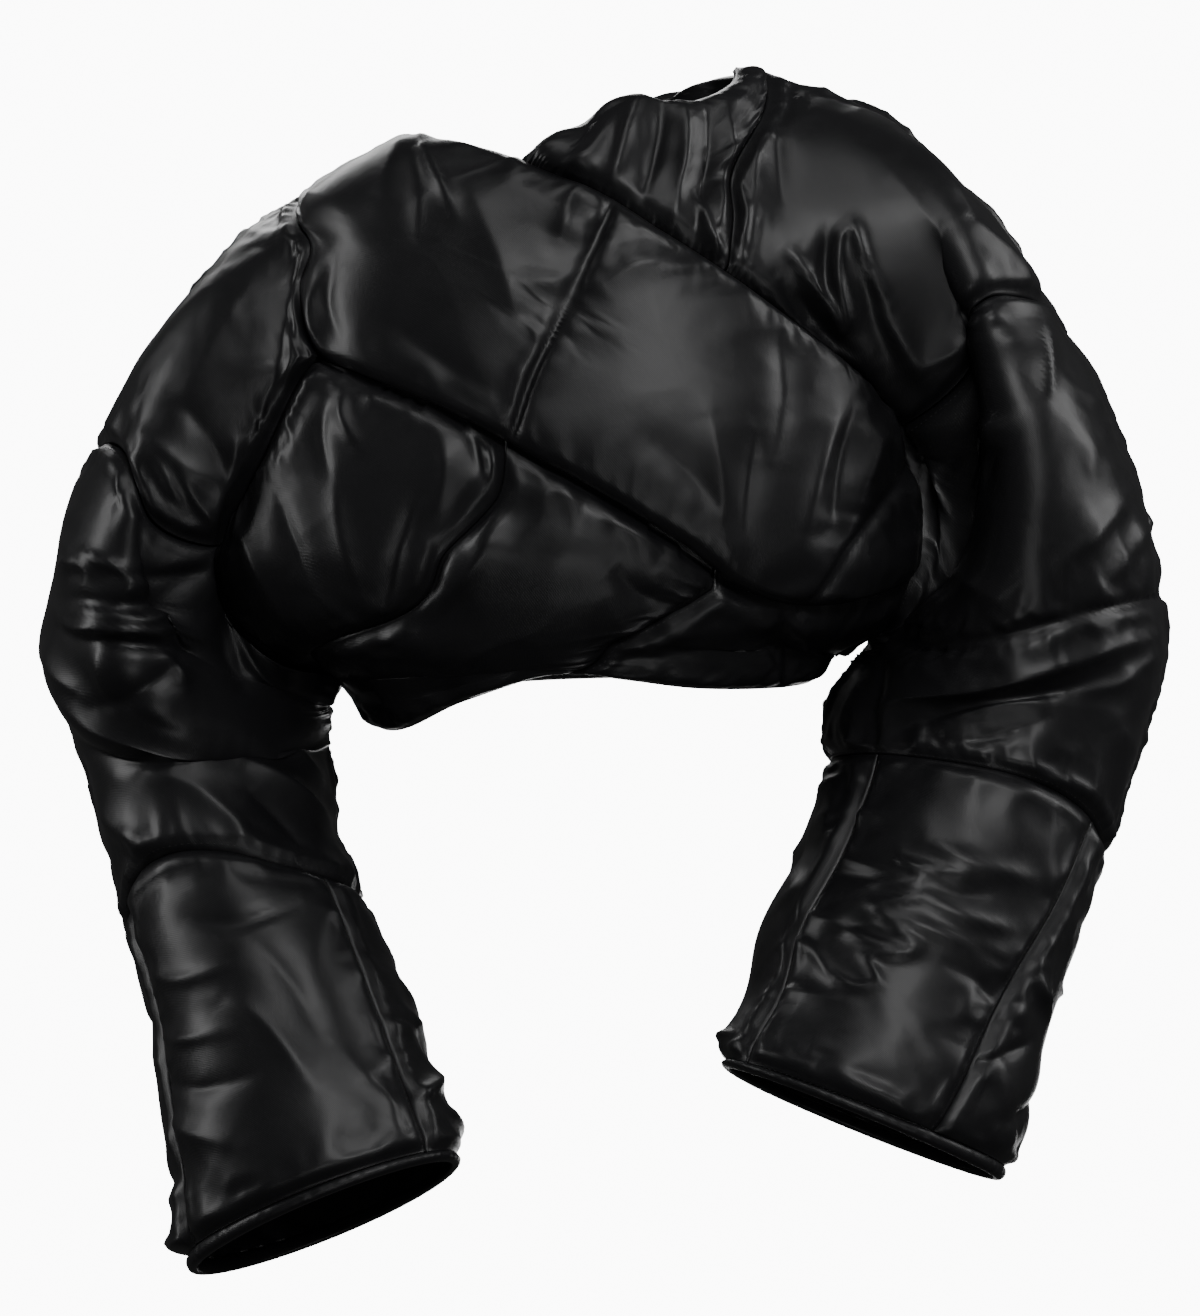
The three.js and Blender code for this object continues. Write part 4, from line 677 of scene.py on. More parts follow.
class Panel:
    """A sewn piece as a grid on a surface: its places, normals, and how high its outer cloth stands."""

    def __init__(self, name, surface, top, bottom, left, right, lift=None, open_edges=None,
                 under_wrap=False, slack=1.0, pucker=1.0, shallow=(), cell=CELL):
        self.name = name
        self.made_from = dict(name=name, surface=surface, top=top, bottom=bottom, left=left, right=right,
                              lift=lift, open_edges=open_edges, under_wrap=under_wrap, slack=slack,
                              shallow=shallow)
        open_edges = open_edges or {}
        rough = fill(*[resampled(side, ROUGH_CELLS) for side in (top, bottom, left, right)])
        spread = surface.place(rough[..., 0], rough[..., 1])
        wide = np.linalg.norm(np.diff(spread, axis=1), axis=-1).sum(1).max()
        high = np.linalg.norm(np.diff(spread, axis=0), axis=-1).sum(0).max()
        nu, nv = max(LEAST_CELLS, round(wide / cell)), max(LEAST_CELLS, round(high / cell))
        grid = fill(resampled(top, nu), resampled(bottom, nu), resampled(left, nv), resampled(right, nv))
        self.places = draw_in(surface.place(grid[..., 0], grid[..., 1]), slack)
        self.normals = surface.normal(grid[..., 0], grid[..., 1])
        self.u, self.v = np.meshgrid(np.linspace(0, 1, nu + 1), np.linspace(0, 1, nv + 1))
        self.wide, self.high = wide, high
        self.flat = np.stack([self.u * wide, self.v * high], -1)
        self.lift = lift(self.u, self.v) if lift else np.zeros_like(self.u)
        self.away = side_distances(self.places)
        clear = wrap_clear(self.places) - PRESSED if under_wrap else np.full_like(self.u, np.inf)
        self.filled = swell(clear)
        for side in SIDES:
            self.filled = self.filled * swell(self.away[side], SWELL / open_edges.get(side, 1))
        for distance, _ in self.quilt_lines():
            self.filled = self.filled * swell(distance, *GROOVE)
        rolled = sum(np.exp(-((self.away[side] / ROLLED_REACH) ** 2)) for side in open_edges)
        self.wall = (np.where(clear < 0, TUCK_WALL, SEAM_WALL - ROLLED * np.minimum(rolled, 1))
                     + SHALLOW * self.raised(shallow, open_edges))
        self.seam = np.minimum.reduce([self.away[side] for side in SIDES]
                                      + [distance for distance, _ in self.quilt_lines()])
        self.pucker = pucker
        self.open_edges = open_edges

    def raised(self, shallow, open_edges):
        """1 along the seams that hardly dent the cloth, as a bell across them, fading near deep seams."""
        bell = np.zeros_like(self.u)
        for side in shallow:
            bell = np.maximum(bell, np.exp(-((self.away[side] / SHALLOW_REACH) ** 2)))
        for side in SIDES:
            if side not in shallow:
                bell = bell * swell(self.away[side], FADE_OPEN if side in open_edges else FADE_DEEP)
        return bell

    def coarse(self):
        """The same piece on the coarser grid that is simulated."""
        return Panel(cell=COARSE, **self.made_from)

    def finer(self, field):
        """A coarse grid's values at this grid's points, by straight lines between them."""
        v, u = (np.linspace(0, 1, n) for n in field.shape)
        rows = np.stack([np.interp(self.v[:, 0], v, field[:, k]) for k in range(field.shape[1])], 1)
        return np.stack([np.interp(self.u[0], u, row) for row in rows])

    def quilt_lines(self):
        """For each stitched line in the piece: distance from it, and length along it, in millimetres."""
        found = []
        for line in QUILTS.get(self.name, []):
            path = np.array(line) * [self.wide, self.high]
            distance, along = path_distance(self.flat, path)
            found.append((distance, along * np.linalg.norm(path[1] - path[0])))
        for line in SEEN_QUILTS.get(self.name, []):
            distance, along = path_distance(seen(self.places), rounded(line))
            found.append((distance * PIXEL, along * PIXEL * math.dist(line[0], line[-1])))
        return found

    def heights(self, wrinkles):
        """The outer cloth's height: the wall, its swelling, the gathers along its seams, the wrinkles that
        the simulation gave and the creases traced from the photograph."""
        rng = np.random.default_rng(sum(map(ord, self.name)))
        loose = np.minimum(1, self.filled * LOOSE)
        h = self.wall + PUFF * self.filled + CROWN * swell(self.seam, CROWN_REACH)
        for side in SIDES:
            run = self.flat[..., 0 if side in ("top", "bottom") else 1]
            scale = self.pucker * (OPEN_GATHERS if side in self.open_edges else 1)
            for kind in (FINE_GATHERS, BROAD_GATHERS):
                h = h + gathers(rng, self.away[side], run, kind, scale) * np.minimum(1, loose * 2)
        for distance, run in self.quilt_lines():
            h = h + gathers(rng, distance, run, QUILT_GATHERS, self.pucker)
        near = np.exp(-((self.seam / WRINKLE_REACH) ** 2))
        h = h + wrinkles * loose * (FAR_WRINKLES + (1 - FAR_WRINKLES) * near)
        if self.name not in CREASES:
            for path, wide, high in self.hidden_creases(rng):
                distance, along = path_distance(self.flat, rounded(path))
                h = h + crease(distance, along, wide, high) * loose
        view, facing = seen(self.places), smooth(0.1, 0.5, -self.normals[..., 1])
        for path, wide, high in CREASES.get(self.name, []):
            distance, along = path_distance(view, rounded(path))
            h = h + crease(distance * PIXEL, along, wide, high) * loose * facing
        return np.maximum(h, TUCK_WALL)

    def hidden_creases(self, rng):
        """Random creases: each a path of two straight halves, the second bent from the first."""
        for _ in range(int(self.wide * self.high / CREASE_AREA)):
            start = rng.uniform(0.03, 0.97, 2) * [self.wide, self.high]
            turn = rng.uniform(-CREASE_TURN, CREASE_TURN) + rng.choice([0, np.pi])
            long = rng.uniform(*CREASE_LONG)
            bend = turn + rng.uniform(-CREASE_BEND, CREASE_BEND)
            middle = start + np.array([np.cos(turn), np.sin(turn)]) * long / 2
            path = [start, middle, middle + np.array([np.cos(bend), np.sin(bend)]) * long / 2]
            yield path, rng.uniform(*CREASE_WIDE), rng.choice(CREASE_HIGH)

    def outer(self, heights):
        """The outer cloth: places moved along their normals by the wrap's lift and the heights."""
        return self.places + self.normals * (self.lift + heights)[..., None]

    def inner(self, heights):
        """The lining, with long soft gathers upwards from the piece's lower side."""
        rng = np.random.default_rng(7 + sum(map(ord, self.name)))
        folds = gathers(rng, self.away["bottom"], self.flat[..., 0], LINING_GATHERS)
        dip = np.clip(folds, -LINING_DIP, LINING_DIP) * self.filled
        return self.places + self.normals * (self.lift + np.minimum(dip, heights - LEAST_WALL))[..., None]


CHEST = (1.9, -60.0)


def tucked_under(points, depth):
    """A side moved into the piece that covers it, towards CHEST, an angle and a height on the body."""
    at = body_place(points[:, 0], points[:, 1])
    way = CHEST - points
    ahead = points + way * 0.01
    step = 0.01 / np.linalg.norm(body_place(ahead[:, 0], ahead[:, 1]) - at, axis=1)
    return points + way * (step * depth(np.linspace(0, 1, len(points))))[:, None]


def tucked_start(points, edge):
    """A seam whose first point is moved to where the tucked edge beside it ends, eased over its start."""
    end = body_line(edge)[-1]
    moved = tucked_under(np.array([end, end]), lambda u: TUCK + 0 * u)[0]
    ease = np.clip(1 - np.arange(len(points)) / DENSE, 0, 1)[:, None]
    return points + (moved - points[0]) * ease


def wrap_lift(u, v):
    """How far the wrap stands off the body: WRAP_LIFT times a rise from its right end, eased to 0 at its
    left end, where all but the upper corner is sewn down."""
    sewn_left = smooth(0.92, 1, u) * smooth(-0.02, 0.18, v)
    return WRAP_LIFT * smooth(0, 0.1, u) * (1 - sewn_left)


def body_panels():
    """The wrap, the panels under it, the yoke and the back, each from its top, bottom, left and right."""
    line = body_line
    yield Panel("front_wrap", Body, chain(line("neck_wrap"), line("wrap_upper")),
                chain(line("wrap_lower_right"), line("wrap_lower_middle"), line("wrap_lower_left")),
                chain(line("shoulder_right")[::-1], line("armhole_right_1")), line("wrap_end"),
                lift=wrap_lift, open_edges={"top": 2, "bottom": 2.2, "right": 1.2}, pucker=0.8,
                shallow=("left",))
    yield Panel("front_lower_right", Body,
                tucked_under(line("wrap_lower_right"), lambda u: TUCK * smooth(0.32, 0.6, u)),
                line("armhole_right_3"), line("armhole_right_2"),
                tucked_start(line("diagonal"), "wrap_lower_right"), under_wrap=True, pucker=1.3)
    yield Panel("front_lower_centre", Body,
                tucked_under(line("wrap_lower_middle"), lambda u: TUCK + 0 * u), line("hem_right"),
                chain(tucked_start(line("diagonal"), "wrap_lower_right"), line("side_right")),
                tucked_start(line("lower_seam"), "wrap_lower_middle"),
                under_wrap=True, open_edges={"bottom": 2.2})
    yield Panel("front_lower_left", Body,
                tucked_under(line("wrap_lower_left"), lambda u: TUCK * (1 - smooth(0.5, 0.72, u))),
                line("hem_left"), tucked_start(line("lower_seam"), "wrap_lower_middle"),
                chain(line("armhole_left_4"), line("side_left")),
                under_wrap=True, open_edges={"bottom": 2.2})
    yield Panel("front_left_yoke", Body, line("neck_yoke"), line("yoke_tuck_foot"), line("yoke_tuck_side"),
                chain(line("shoulder_left"), line("armhole_left_1")),
                under_wrap=True, open_edges={"top": 2.2}, pucker=1.2, shallow=("right",))
    yield Panel("back", Body, line("neck_back"), line("hem_back"),
                chain(line("shoulder_right")[::-1], line("armhole_back_right_1"),
                      line("armhole_back_right_2"), line("armhole_back_right_3"), line("side_right")),
                chain(from_back(line("shoulder_left")), line("armhole_back_left_1"),
                      line("armhole_back_left_2"), line("armhole_back_left_3"),
                      from_back(line("side_left"))), open_edges={"top": 2.2, "bottom": 2.2}, pucker=1.2,
                shallow=("left", "right"))


CUFF_STEPS = 8


def sleeve_panels(side):
    """A cap, a middle and a lower part, each in front and behind."""
    spec = SLEEVES[side]
    surface = Sleeve(spec)
    end = len(spec["rings"])
    cuff = end - CUFF_LENGTH / RING_APART
    name = ("sleeve_" + side + "_{}").format
    outer_share, front_share, inner_share = spec["elbow_shares"]
    total = outer_share + front_share + inner_share
    seam_ends = spec["elbow_seam"][0][0], spec["elbow_seam"][-1][0]
    elbow_back = [(seam_ends[0] + (seam_ends[1] - seam_ends[0]) * r, 2 - r) for _, r in spec["elbow_seam"]]
    faces = (("front", 0, spec["front"], spec["cap_seam"], spec["elbow_seam"]),
             ("back", 2, spec["back"], spec["cap_seam_back"], elbow_back))
    for face, outer, (upper, middle, lower), cap_seam, elbow in faces:
        seam = surface.line(cap_seam, BODY_LINES[upper][0])
        across = chain(seam, surface.hole_line(lower))
        yield Panel(name("cap_" + face), surface,
                    straight((0, outer), (spec["cap"], outer), spec["cap_steps"]),
                    surface.hole_line([middle]), surface.hole_line([upper]), seam,
                    under_wrap=(side == "left" and face == "front"), slack=5, shallow=("top", "left"))
        yield Panel(name("middle_" + face), surface, across, surface.line(elbow, len(across) // DENSE),
                    straight((spec["cap"], outer), elbow[0], spec["mid_steps"]),
                    straight((0, 1), elbow[-1], spec["mid_steps"]), pucker=1.2, shallow=("left", "right"))
    front = surface.line(spec["elbow_seam"], total)
    back = surface.line(elbow_back, sum(BODY_LINES[n][0] for n in spec["back"][2] + [spec["back"][0]]))
    first, second = outer_share * DENSE, (outer_share + front_share) * DENSE
    turn = np.array([0.0, 2.0])
    top_front = front[first:second + 1]
    top_back = chain(front[second:], back[::-1], front[:first + 1] + turn)

    def low_seam(rows, top):
        """A lengthwise seam from the elbow seam's point top to the cuff."""
        line = surface.line([tuple(top)] + rows[1:], spec["low_steps"])
        line[:, 0] = np.minimum(line[:, 0], cuff)
        line[-1, 0] = cuff
        return line

    outer_seam = low_seam(spec["outer_seam"], top_front[0])
    inner_seam = low_seam(spec["inner_seam"], top_front[-1])
    outer_end, inner_end = outer_seam[-1, 1], inner_seam[-1, 1]
    yield Panel(name("lower_front"), surface, top_front,
                straight((cuff, outer_end), (cuff, inner_end), CUFF_STEPS), outer_seam, inner_seam,
                open_edges={"bottom": 1.7}, pucker=0.7)
    yield Panel(name("lower_back"), surface, top_back,
                straight((cuff, inner_end), (cuff, outer_end + 2), CUFF_STEPS), inner_seam,
                outer_seam + turn, open_edges={"bottom": 1.7}, pucker=0.7)


# Meshes


def grid_faces(rows, columns, start, ring=False):
    """Quads over a grid of points numbered row by row from start."""
    j, i = np.meshgrid(np.arange(rows - 1), np.arange(columns - (0 if ring else 1)), indexing="ij")
    k = (i + 1) % columns
    here, below = j * columns, (j + 1) * columns
    return start + np.stack([here + i, below + i, below + k, here + k], -1).reshape(-1, 4)


def wall_faces(rows, columns, ring=False):
    """A closed wall between an outer grid and an inner one that follows it in the list of points."""
    size = rows * columns
    outer, inner = grid_faces(rows, columns, 0, ring), grid_faces(rows, columns, size, ring)[:, ::-1]
    row = np.arange(columns) if not ring else np.append(np.arange(columns), 0)
    edges = [(row, 1), (row + (rows - 1) * columns, -1)]
    if not ring:
        down = np.arange(rows) * columns
        edges += [(down, -1), (down + columns - 1, 1)]
    rims = []
    for line, way in edges:
        a, b = line[:-1], line[1:]
        quad = np.stack([a, b, b + size, a + size], 1)
        rims.append(quad if way > 0 else quad[:, ::-1])
    return np.concatenate([outer, inner] + rims)


def new_object(name, points, faces, smooth_shaded=True):
    """A mesh object at the origin from points in metres and faces."""
    mesh = bpy.data.meshes.new(name)
    mesh.from_pydata(points.reshape(-1, 3).tolist(), [], faces.tolist())
    mesh.polygons.foreach_set("use_smooth", np.full(len(faces), smooth_shaded))
    obj = bpy.data.objects.new(name, mesh)
    bpy.context.scene.collection.objects.link(obj)
    return obj


def walled(name, outer, inner, ring=False):
    """A closed wall between two grids in millimetres, its faces turned outwards by its volume's sign."""
    points = np.concatenate([outer.reshape(-1, 3), inner.reshape(-1, 3)]) * MM
    faces = wall_faces(*outer.shape[:2], ring)
    a, b, c, d = (points[faces[:, k]] for k in range(4))
    volume = (np.cross(b - a, c - a) * a).sum() + (np.cross(c - a, d - a) * a).sum()
    return new_object(name, points, faces if volume > 0 else faces[:, ::-1])


def finish_piece(obj, node, material, levels=0):
    """Gives a piece its material and place in the frame."""
    obj.data.materials.append(material)
    if levels:
        smoother = obj.modifiers.new("smooth", "SUBSURF")
        smoother.levels = smoother.render_levels = levels
    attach(obj, "root")
    if node:
        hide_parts(node)


# Wrinkles from a simulation: each panel's outer cloth, larger than its place by this share, is blown up
# from its stitched lines, where it has swelled less than SEWN, by a pressure for so many frames. A wrinkle
# is how far it went out at most GONE_OUT, less the same averaged over a wide area, and at most WRINKLE_CAP

SLACK_CLOTH = 0.07
SEWN = 0.06
AIR = 3.0
STIFF = 0.15
SIM_FRAMES = 16
GONE_OUT = 25
AVERAGED = 1, 30
WRINKLE_CAP = 2.2


def blown_up(points, faces, sewn):
    """Where a cloth's points are after the run, in millimetres; sewn lists those that are held."""
    cloth_run = new_object("cloth_run", points * MM, faces, smooth_shaded=False)
    cloth_run.vertex_groups.new(name="sewn").add(sewn.tolist(), 1.0, "REPLACE")
    cloth = cloth_run.modifiers.new("cloth", "CLOTH")
    cloth.settings.vertex_group_mass = "sewn"
    cloth.settings.use_pressure = True
    cloth.settings.uniform_pressure_force = AIR
    cloth.settings.shrink_min = -SLACK_CLOTH
    cloth.settings.bending_stiffness = STIFF
    cloth.settings.quality = 4
    cloth.settings.effector_weights.gravity = 0
    cloth.collision_settings.use_collision = False
    cloth.point_cache.frame_end = SIM_FRAMES
    scene = bpy.context.scene
    for number in range(1, SIM_FRAMES + 1):
        scene.frame_set(number)
    moved = cloth_run.evaluated_get(bpy.context.evaluated_depsgraph_get()).data
    after = np.empty(len(points) * 3)
    moved.vertices.foreach_get("co", after)
    scene.frame_set(1)
    bpy.data.objects.remove(cloth_run)
    return after.reshape(-1, 3) / MM


def simulate(panels):
    """Each panel's wrinkles in millimetres."""
    starts = [p.outer(p.wall + PUFF * p.filled) for p in panels]
    offsets = np.cumsum([0] + [p.u.size for p in panels])
    faces = np.concatenate([grid_faces(*p.u.shape, start) for p, start in zip(panels, offsets)])
    sewn = np.flatnonzero(np.concatenate([p.filled.ravel() for p in panels]) < SEWN)
    after = blown_up(np.concatenate([s.reshape(-1, 3) for s in starts]), faces, sewn)
    wrinkles = []
    for p, start, k in zip(panels, starts, offsets):
        shift = after[k:k + p.u.size].reshape(start.shape) - start
        out = np.clip((shift * p.normals).sum(-1), -GONE_OUT, GONE_OUT)
        fine = blurred(out, AVERAGED[0]) - blurred(out, AVERAGED[1])
        wrinkles.append(WRINKLE_CAP * np.tanh(fine / WRINKLE_CAP))
    return wrinkles


# Materials


class Sock:
    """A node's output that can be worked with as a number."""

    def __init__(self, tree, out):
        self.tree, self.out = tree, out

    def _with(self, other, operation, swapped=False):
        pair = (other, self) if swapped else (self, other)
        return self.tree.add("ShaderNodeMath", {"operation": operation}, {0: pair[0], 1: pair[1]})

    def __add__(self, other): return self._with(other, "ADD")
    def __radd__(self, other): return self._with(other, "ADD", True)
    def __sub__(self, other): return self._with(other, "SUBTRACT")
    def __rsub__(self, other): return self._with(other, "SUBTRACT", True)
    def __mul__(self, other): return self._with(other, "MULTIPLY")
    def __rmul__(self, other): return self._with(other, "MULTIPLY", True)


class Tree:
    """A material's nodes: add() takes a node's type, its settings, and values or links for its sockets."""

    def __init__(self, name):
        self.material = bpy.data.materials.new(name)
        self.material.use_nodes = True
        self.nodes, self.links = self.material.node_tree.nodes, self.material.node_tree.links
        self.nodes.clear()

    def add(self, kind, settings=None, sockets=None, out=0):
        node = self.nodes.new(kind)
        for key, value in (settings or {}).items():
            setattr(node, key, value)
        for key, value in (sockets or {}).items():
            if isinstance(value, Sock):
                self.links.new(value.out, node.inputs[key])
            else:
                node.inputs[key].default_value = value
        return Sock(self, node.outputs[out])

    def mix(self, factor, a, b):
        """Colour a where factor is 0 and b where it is 1."""
        return self.add("ShaderNodeMix", {"data_type": "RGBA"}, {0: factor, 6: a, 7: b}, out=2)

    def surface(self, **sockets):
        """Ends the tree with one shader; a socket's name has _ for each space."""
        named = {key.replace("_", " "): value for key, value in sockets.items()}
        shader = self.add("ShaderNodeBsdfPrincipled", None, named)
        output = self.nodes.new("ShaderNodeOutputMaterial")
        self.links.new(shader.out, output.inputs["Surface"])
        return self.material


# How often the satin's patterns repeat in a metre: changes of tone over a block, soft crinkles, fine
# crinkles, and the two crossed threads of its weave
BLOCK_TONE, CRINKLES, FINE_CRINKLES = 9.0, 38.0, 190.0
WARP, WEFT = 420.0, 520.0
# The relief's depth in metres, and how strongly it shows
RELIEF_DEEP, RELIEF_STRONG = 0.0016, 0.55


def noise(tree, where, scale, detail=3.0, rough=0.5, twist=0.0):
    """A soft random pattern, 0 to 1, that repeats its forms scale times in a metre."""
    return tree.add("ShaderNodeTexNoise", {"noise_dimensions": "3D"},
                    {"Vector": where, "Scale": scale, "Detail": detail, "Roughness": rough,
                     "Distortion": twist})


def satin(name, base, lift_colour, rough, crinkle):
    """Black satin, from its base colour to lift_colour: two fine crossed waves for its weave, soft
    crinkles of two sizes, and a faint change of colour and gloss over each block."""
    tree = Tree(name)
    where = tree.add("ShaderNodeTexCoord", out=3)
    broad = noise(tree, where, BLOCK_TONE, 2.0)
    cloudy = noise(tree, where, CRINKLES, 3.0, 0.55, 0.6)
    fine = noise(tree, where, FINE_CRINKLES, 3.0, 0.6, 0.4)
    warp = tree.add("ShaderNodeTexWave", {"wave_type": "BANDS", "bands_direction": "DIAGONAL"},
                    {"Vector": where, "Scale": WARP, "Distortion": 0.6}, out=1)
    weft = tree.add("ShaderNodeTexWave", {"wave_type": "BANDS", "bands_direction": "Z"},
                    {"Vector": where, "Scale": WEFT, "Distortion": 0.6}, out=1)
    colour = tree.mix(broad * 0.6 + cloudy * 0.4, base + (1,), lift_colour + (1,))
    gloss = rough + (cloudy - 0.5) * 0.10 + (broad - 0.5) * 0.10
    relief = cloudy * crinkle + fine * (crinkle * 0.45) + warp * weft * 0.045
    bump = tree.add("ShaderNodeBump", None,
                    {"Strength": RELIEF_STRONG, "Distance": RELIEF_DEEP, "Height": relief})
    return tree.surface(Base_Color=colour, Roughness=gloss, Normal=bump, Specular_IOR_Level=0.5,
                        Coat_Weight=0.06, Coat_Roughness=0.25)


def plain(name, colour, rough, glow):
    """A dull stage surface with a barely seen change of tone, evenly lit from within."""
    tree = Tree(name)
    where = tree.add("ShaderNodeTexCoord", out=3)
    tone = noise(tree, where, 0.6, 1.0)
    darker = tuple(c * 0.985 for c in colour)
    return tree.surface(Base_Color=tree.mix(tone, darker + (1,), colour + (1,)), Roughness=rough,
                        Emission_Color=colour + (1,), Emission_Strength=glow)


SHELL = satin("black_satin_shell", (0.0095, 0.0095, 0.0105), (0.016, 0.016, 0.018),
              rough=0.365, crinkle=0.16)
BINDING = satin("black_satin_binding", (0.008, 0.008, 0.009), (0.013, 0.013, 0.015),
                rough=0.42, crinkle=0.35)
THREAD = satin("black_thread", (0.03, 0.03, 0.032), (0.05, 0.05, 0.053), rough=0.55, crinkle=0.2)
PALE = plain("pale_backdrop", (0.9, 0.9, 0.9), rough=0.9, glow=12.0)


# The pieces

panels = list(body_panels()) + list(sleeve_panels("right")) + list(sleeve_panels("left"))
found = [p.finer(w) for p, w in zip(panels, simulate([p.coarse() for p in panels]))]

outers = {}
for panel, wrinkles in zip(panels, found):
    heights = panel.heights(wrinkles)
    outers[panel.name] = panel.outer(heights)
    piece = walled("padded_" + panel.name, outers[panel.name], panel.inner(heights))
    finish_piece(piece, panel.name, SHELL)

# Cuff bindings: their grid's points round and along, the thinnest wall, how much the roll and the ribs of
# its gathers add, how many ribs the three waves have, and how far the roll goes inwards
CUFF_COLUMNS, CUFF_ROWS = 300, 9
BINDING_WALL, ROLL_HIGH, RIB_HIGH, ROLL_IN = 2.2, 3.4, 0.35, 0.9
RIBS = (37, 53, 71)


def rolled_cuff(side):
    """A roll round a sleeve's end: half a circle over the width of the binding, plus the ribs' waves."""
    surface = Sleeve(SLEEVES[side])
    end = len(SLEEVES[side]["rings"])
    f = np.linspace(0.03, 1, CUFF_ROWS)[:, None]
    along = end - CUFF_LENGTH / RING_APART * (1 - f) + np.zeros((1, CUFF_COLUMNS))
    rounds = np.linspace(0, 2, CUFF_COLUMNS, endpoint=False)[None] + np.zeros((CUFF_ROWS, 1))
    places, normals = surface.place(along, rounds), surface.normal(along, rounds)
    shifts = np.random.default_rng(5).uniform(0, 6, len(RIBS))
    ribs = sum(np.sin(np.pi * rounds * n + shift) for n, shift in zip(RIBS, shifts)) / len(RIBS)
    roll = np.sqrt(np.clip(1 - ((f - 0.515) / 0.5) ** 2, 0, 1))
    wall = BINDING_WALL + ROLL_HIGH * roll + RIB_HIGH * ribs * roll
    return walled(f"rolled_cuff_{side}", places + normals * wall[..., None],
                  places - normals * (ROLL_IN * roll)[..., None], ring=True)


for side in ("right", "left"):
    finish_piece(rolled_cuff(side), f"sleeve_{side}_cuff", BINDING, levels=1)

# Topstitching: short threads along the seams where they show, a little in from the edge
STITCHED = [
    ("sleeve_left_middle_front", "bottom"), ("sleeve_left_lower_front", "left"),
    ("sleeve_left_lower_front", "bottom"), ("sleeve_right_middle_front", "bottom"),
    ("sleeve_right_lower_front", "left"), ("sleeve_right_lower_front", "right"),
    ("sleeve_right_lower_front", "bottom"), ("sleeve_left_middle_front", "top"),
    ("front_lower_left", "left"), ("front_lower_centre", "bottom"), ("front_lower_left", "bottom"),
    ("sleeve_left_lower_back", "bottom"), ("sleeve_right_lower_back", "bottom"), ("back", "bottom"),
    ("sleeve_left_lower_front", "right"), ("sleeve_right_middle_front", "top"),
]
STITCH_LONG, STITCH_EVERY, STITCH_THICK = 2.6, 4.0, 0.28
# How far a stitch's middle stands over the cloth, and how far its ends are drawn into it
STITCH_OUT, STITCH_IN = 0.15, 0.1


def stitches(path):
    """Small closed six-point threads, one every STITCH_EVERY along a path with normals: a diamond round
    each middle, joined to a point at either end."""
    length = np.concatenate([[0], np.cumsum(np.linalg.norm(np.diff(path[:, :3], axis=0), axis=1))])
    at = np.arange(STITCH_EVERY, length[-1] - STITCH_EVERY, STITCH_EVERY)
    a, b = (np.stack([np.interp(s, length, path[:, k]) for k in range(6)], 1)
            for s in (at, at + STITCH_LONG))
    along, up = unit(b[:, :3] - a[:, :3]), unit(a[:, 3:])
    side = np.cross(along, up)
    middle = (a[:, :3] + b[:, :3]) / 2 + up * STITCH_OUT
    ring = [middle + (up * c + side * s) * STITCH_THICK
            for c, s in ((1.2, 0), (0, 1), (-1, 0), (0, -1))]
    points = np.stack([a[:, :3] - up * STITCH_IN, *ring, b[:, :3] - up * STITCH_IN], 1)
    faces = np.array([(0, 2, 1), (0, 3, 2), (0, 4, 3), (0, 1, 4),
                      (5, 1, 2), (5, 2, 3), (5, 3, 4), (5, 4, 1)])
    return points.reshape(-1, 3), (faces + 6 * np.arange(len(at))[:, None, None]).reshape(-1, 3)


by_name = {p.name: p for p in panels}
ROW_IN = {"top": np.s_[1, :], "bottom": np.s_[-2, :], "left": np.s_[:, 1], "right": np.s_[:, -2]}
all_points, all_faces, count = [], [], 0
for name, side in STITCHED:
    row = ROW_IN[side]
    points, triangles = stitches(np.concatenate([outers[name][row], by_name[name].normals[row]], 1))
    all_points.append(points)
    all_faces.append(triangles + count)
    count += len(points)
threads = new_object("topstitching", np.concatenate(all_points) * MM, np.concatenate(all_faces),
                     smooth_shaded=False)
finish_piece(threads, None, THREAD)

# Stage: a pale floor that curves up all round into a dome, as radius and height in metres, soft lights
# and the camera. The dome is only seen directly, so the cloth mirrors nothing but the lights
DOME = ((0.0, -1.35), (2.0, -1.35), (4.5, -1.3), (6.0, -0.7),
        (6.6, 1.0), (6.0, 4.0), (3.5, 6.4), (0.0, 7.0))
DOME_ROWS, DOME_COLUMNS = 60, 96
POLE = 0.0004


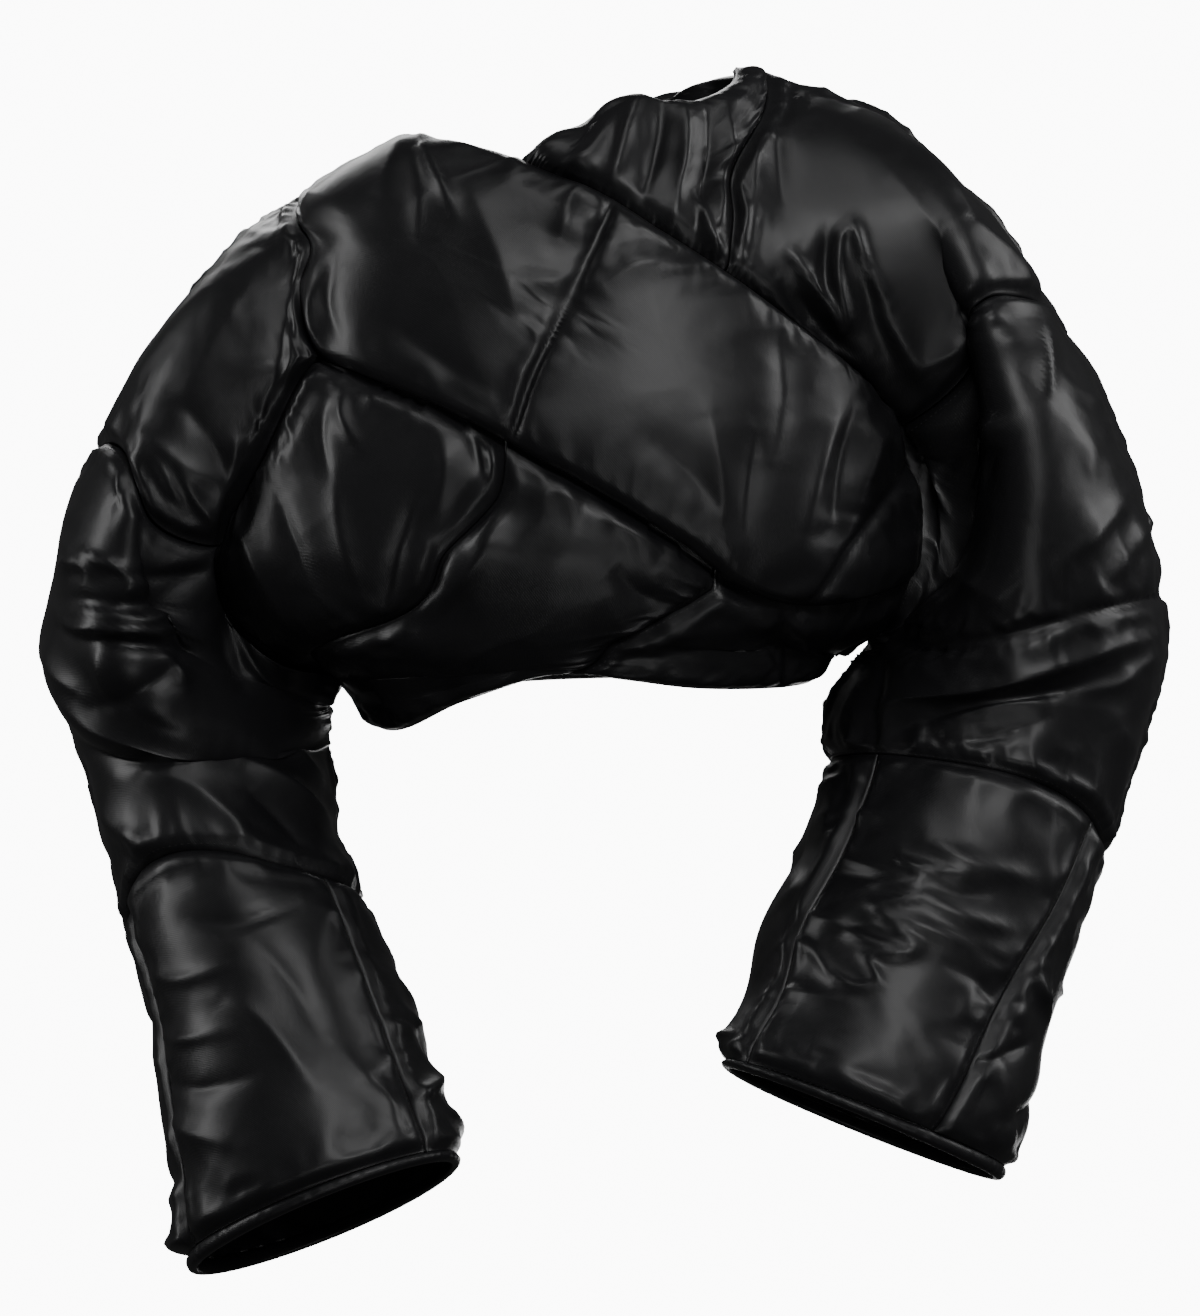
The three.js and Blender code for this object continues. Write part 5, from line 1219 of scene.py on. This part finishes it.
def pale_dome():
    """The profile turned round the upright axis, facing inwards, with its poles drawn almost to points."""
    profile = spline(DOME, DOME_ROWS)
    turn = np.linspace(0, 2 * np.pi, DOME_COLUMNS, endpoint=False)
    radius = np.maximum(profile[:, :1], POLE)
    points = np.stack([radius * np.sin(turn), radius * np.cos(turn), profile[:, 1:] + 0 * turn], -1)
    dome = new_object("pale_dome", points, grid_faces(DOME_ROWS + 1, DOME_COLUMNS, 0, ring=True))
    dome.data.materials.append(PALE)
    dome.visible_glossy = dome.visible_diffuse = dome.visible_shadow = False


pale_dome()

# Lights: place, width, height and power, all aimed at the jacket's middle
CENTRE = (0.03, 0.0, -0.3)
LIGHTS = {
    "front_high": ((0.9, -2.6, 1.3), 1.3, 0.7, 23),
    "overhead": ((0.1, -1.2, 1.9), 1.2, 0.7, 7),
    "front_low": ((0.5, -2.8, -1.2), 1.3, 0.5, 6),
    "left_side": ((-1.9, -0.2, 0.3), 0.5, 1.5, 11),
    "right_side": ((1.9, 0.0, 0.6), 0.45, 1.4, 12),
    "behind_high": ((-0.4, 2.7, 1.5), 1.8, 1.0, 26),
    "behind_low": ((0.5, 2.8, -1.1), 1.6, 0.6, 10),
}
WORLD_LIGHT = 0.04
SENSOR = 36.0


def softbox(name, place, wide, high, power):
    """A rectangular light at a place, turned to face the jacket's middle."""
    light = bpy.data.lights.new(name, "AREA")
    light.shape, light.size, light.size_y, light.energy = "RECTANGLE", wide, high, power
    obj = bpy.data.objects.new(name, light)
    obj.location = place
    way = np.subtract(CENTRE, place)
    obj.rotation_euler = (math.atan2(math.hypot(way[0], way[1]), -way[2]), 0, math.atan2(-way[0], way[1]))
    obj.visible_camera = False
    bpy.context.scene.collection.objects.link(obj)


for name, light in LIGHTS.items():
    softbox(name, *light)

world = bpy.data.worlds.new("studio")
world.use_nodes = True
background = world.node_tree.nodes["Background"]
background.inputs["Color"].default_value = (1, 1, 1, 1)
background.inputs["Strength"].default_value = WORLD_LIGHT
bpy.context.scene.world = world

camera = bpy.data.cameras.new("camera")
camera.sensor_fit, camera.sensor_height = "VERTICAL", SENSOR
camera.lens = SENSOR * -CAMERA[1] / (PHOTO_HIGH * PIXEL)
view = bpy.data.objects.new("camera", camera)
view.location = CAMERA * MM
view.rotation_euler = (math.pi / 2, 0, 0)
bpy.context.scene.collection.objects.link(view)
bpy.context.scene.camera = view
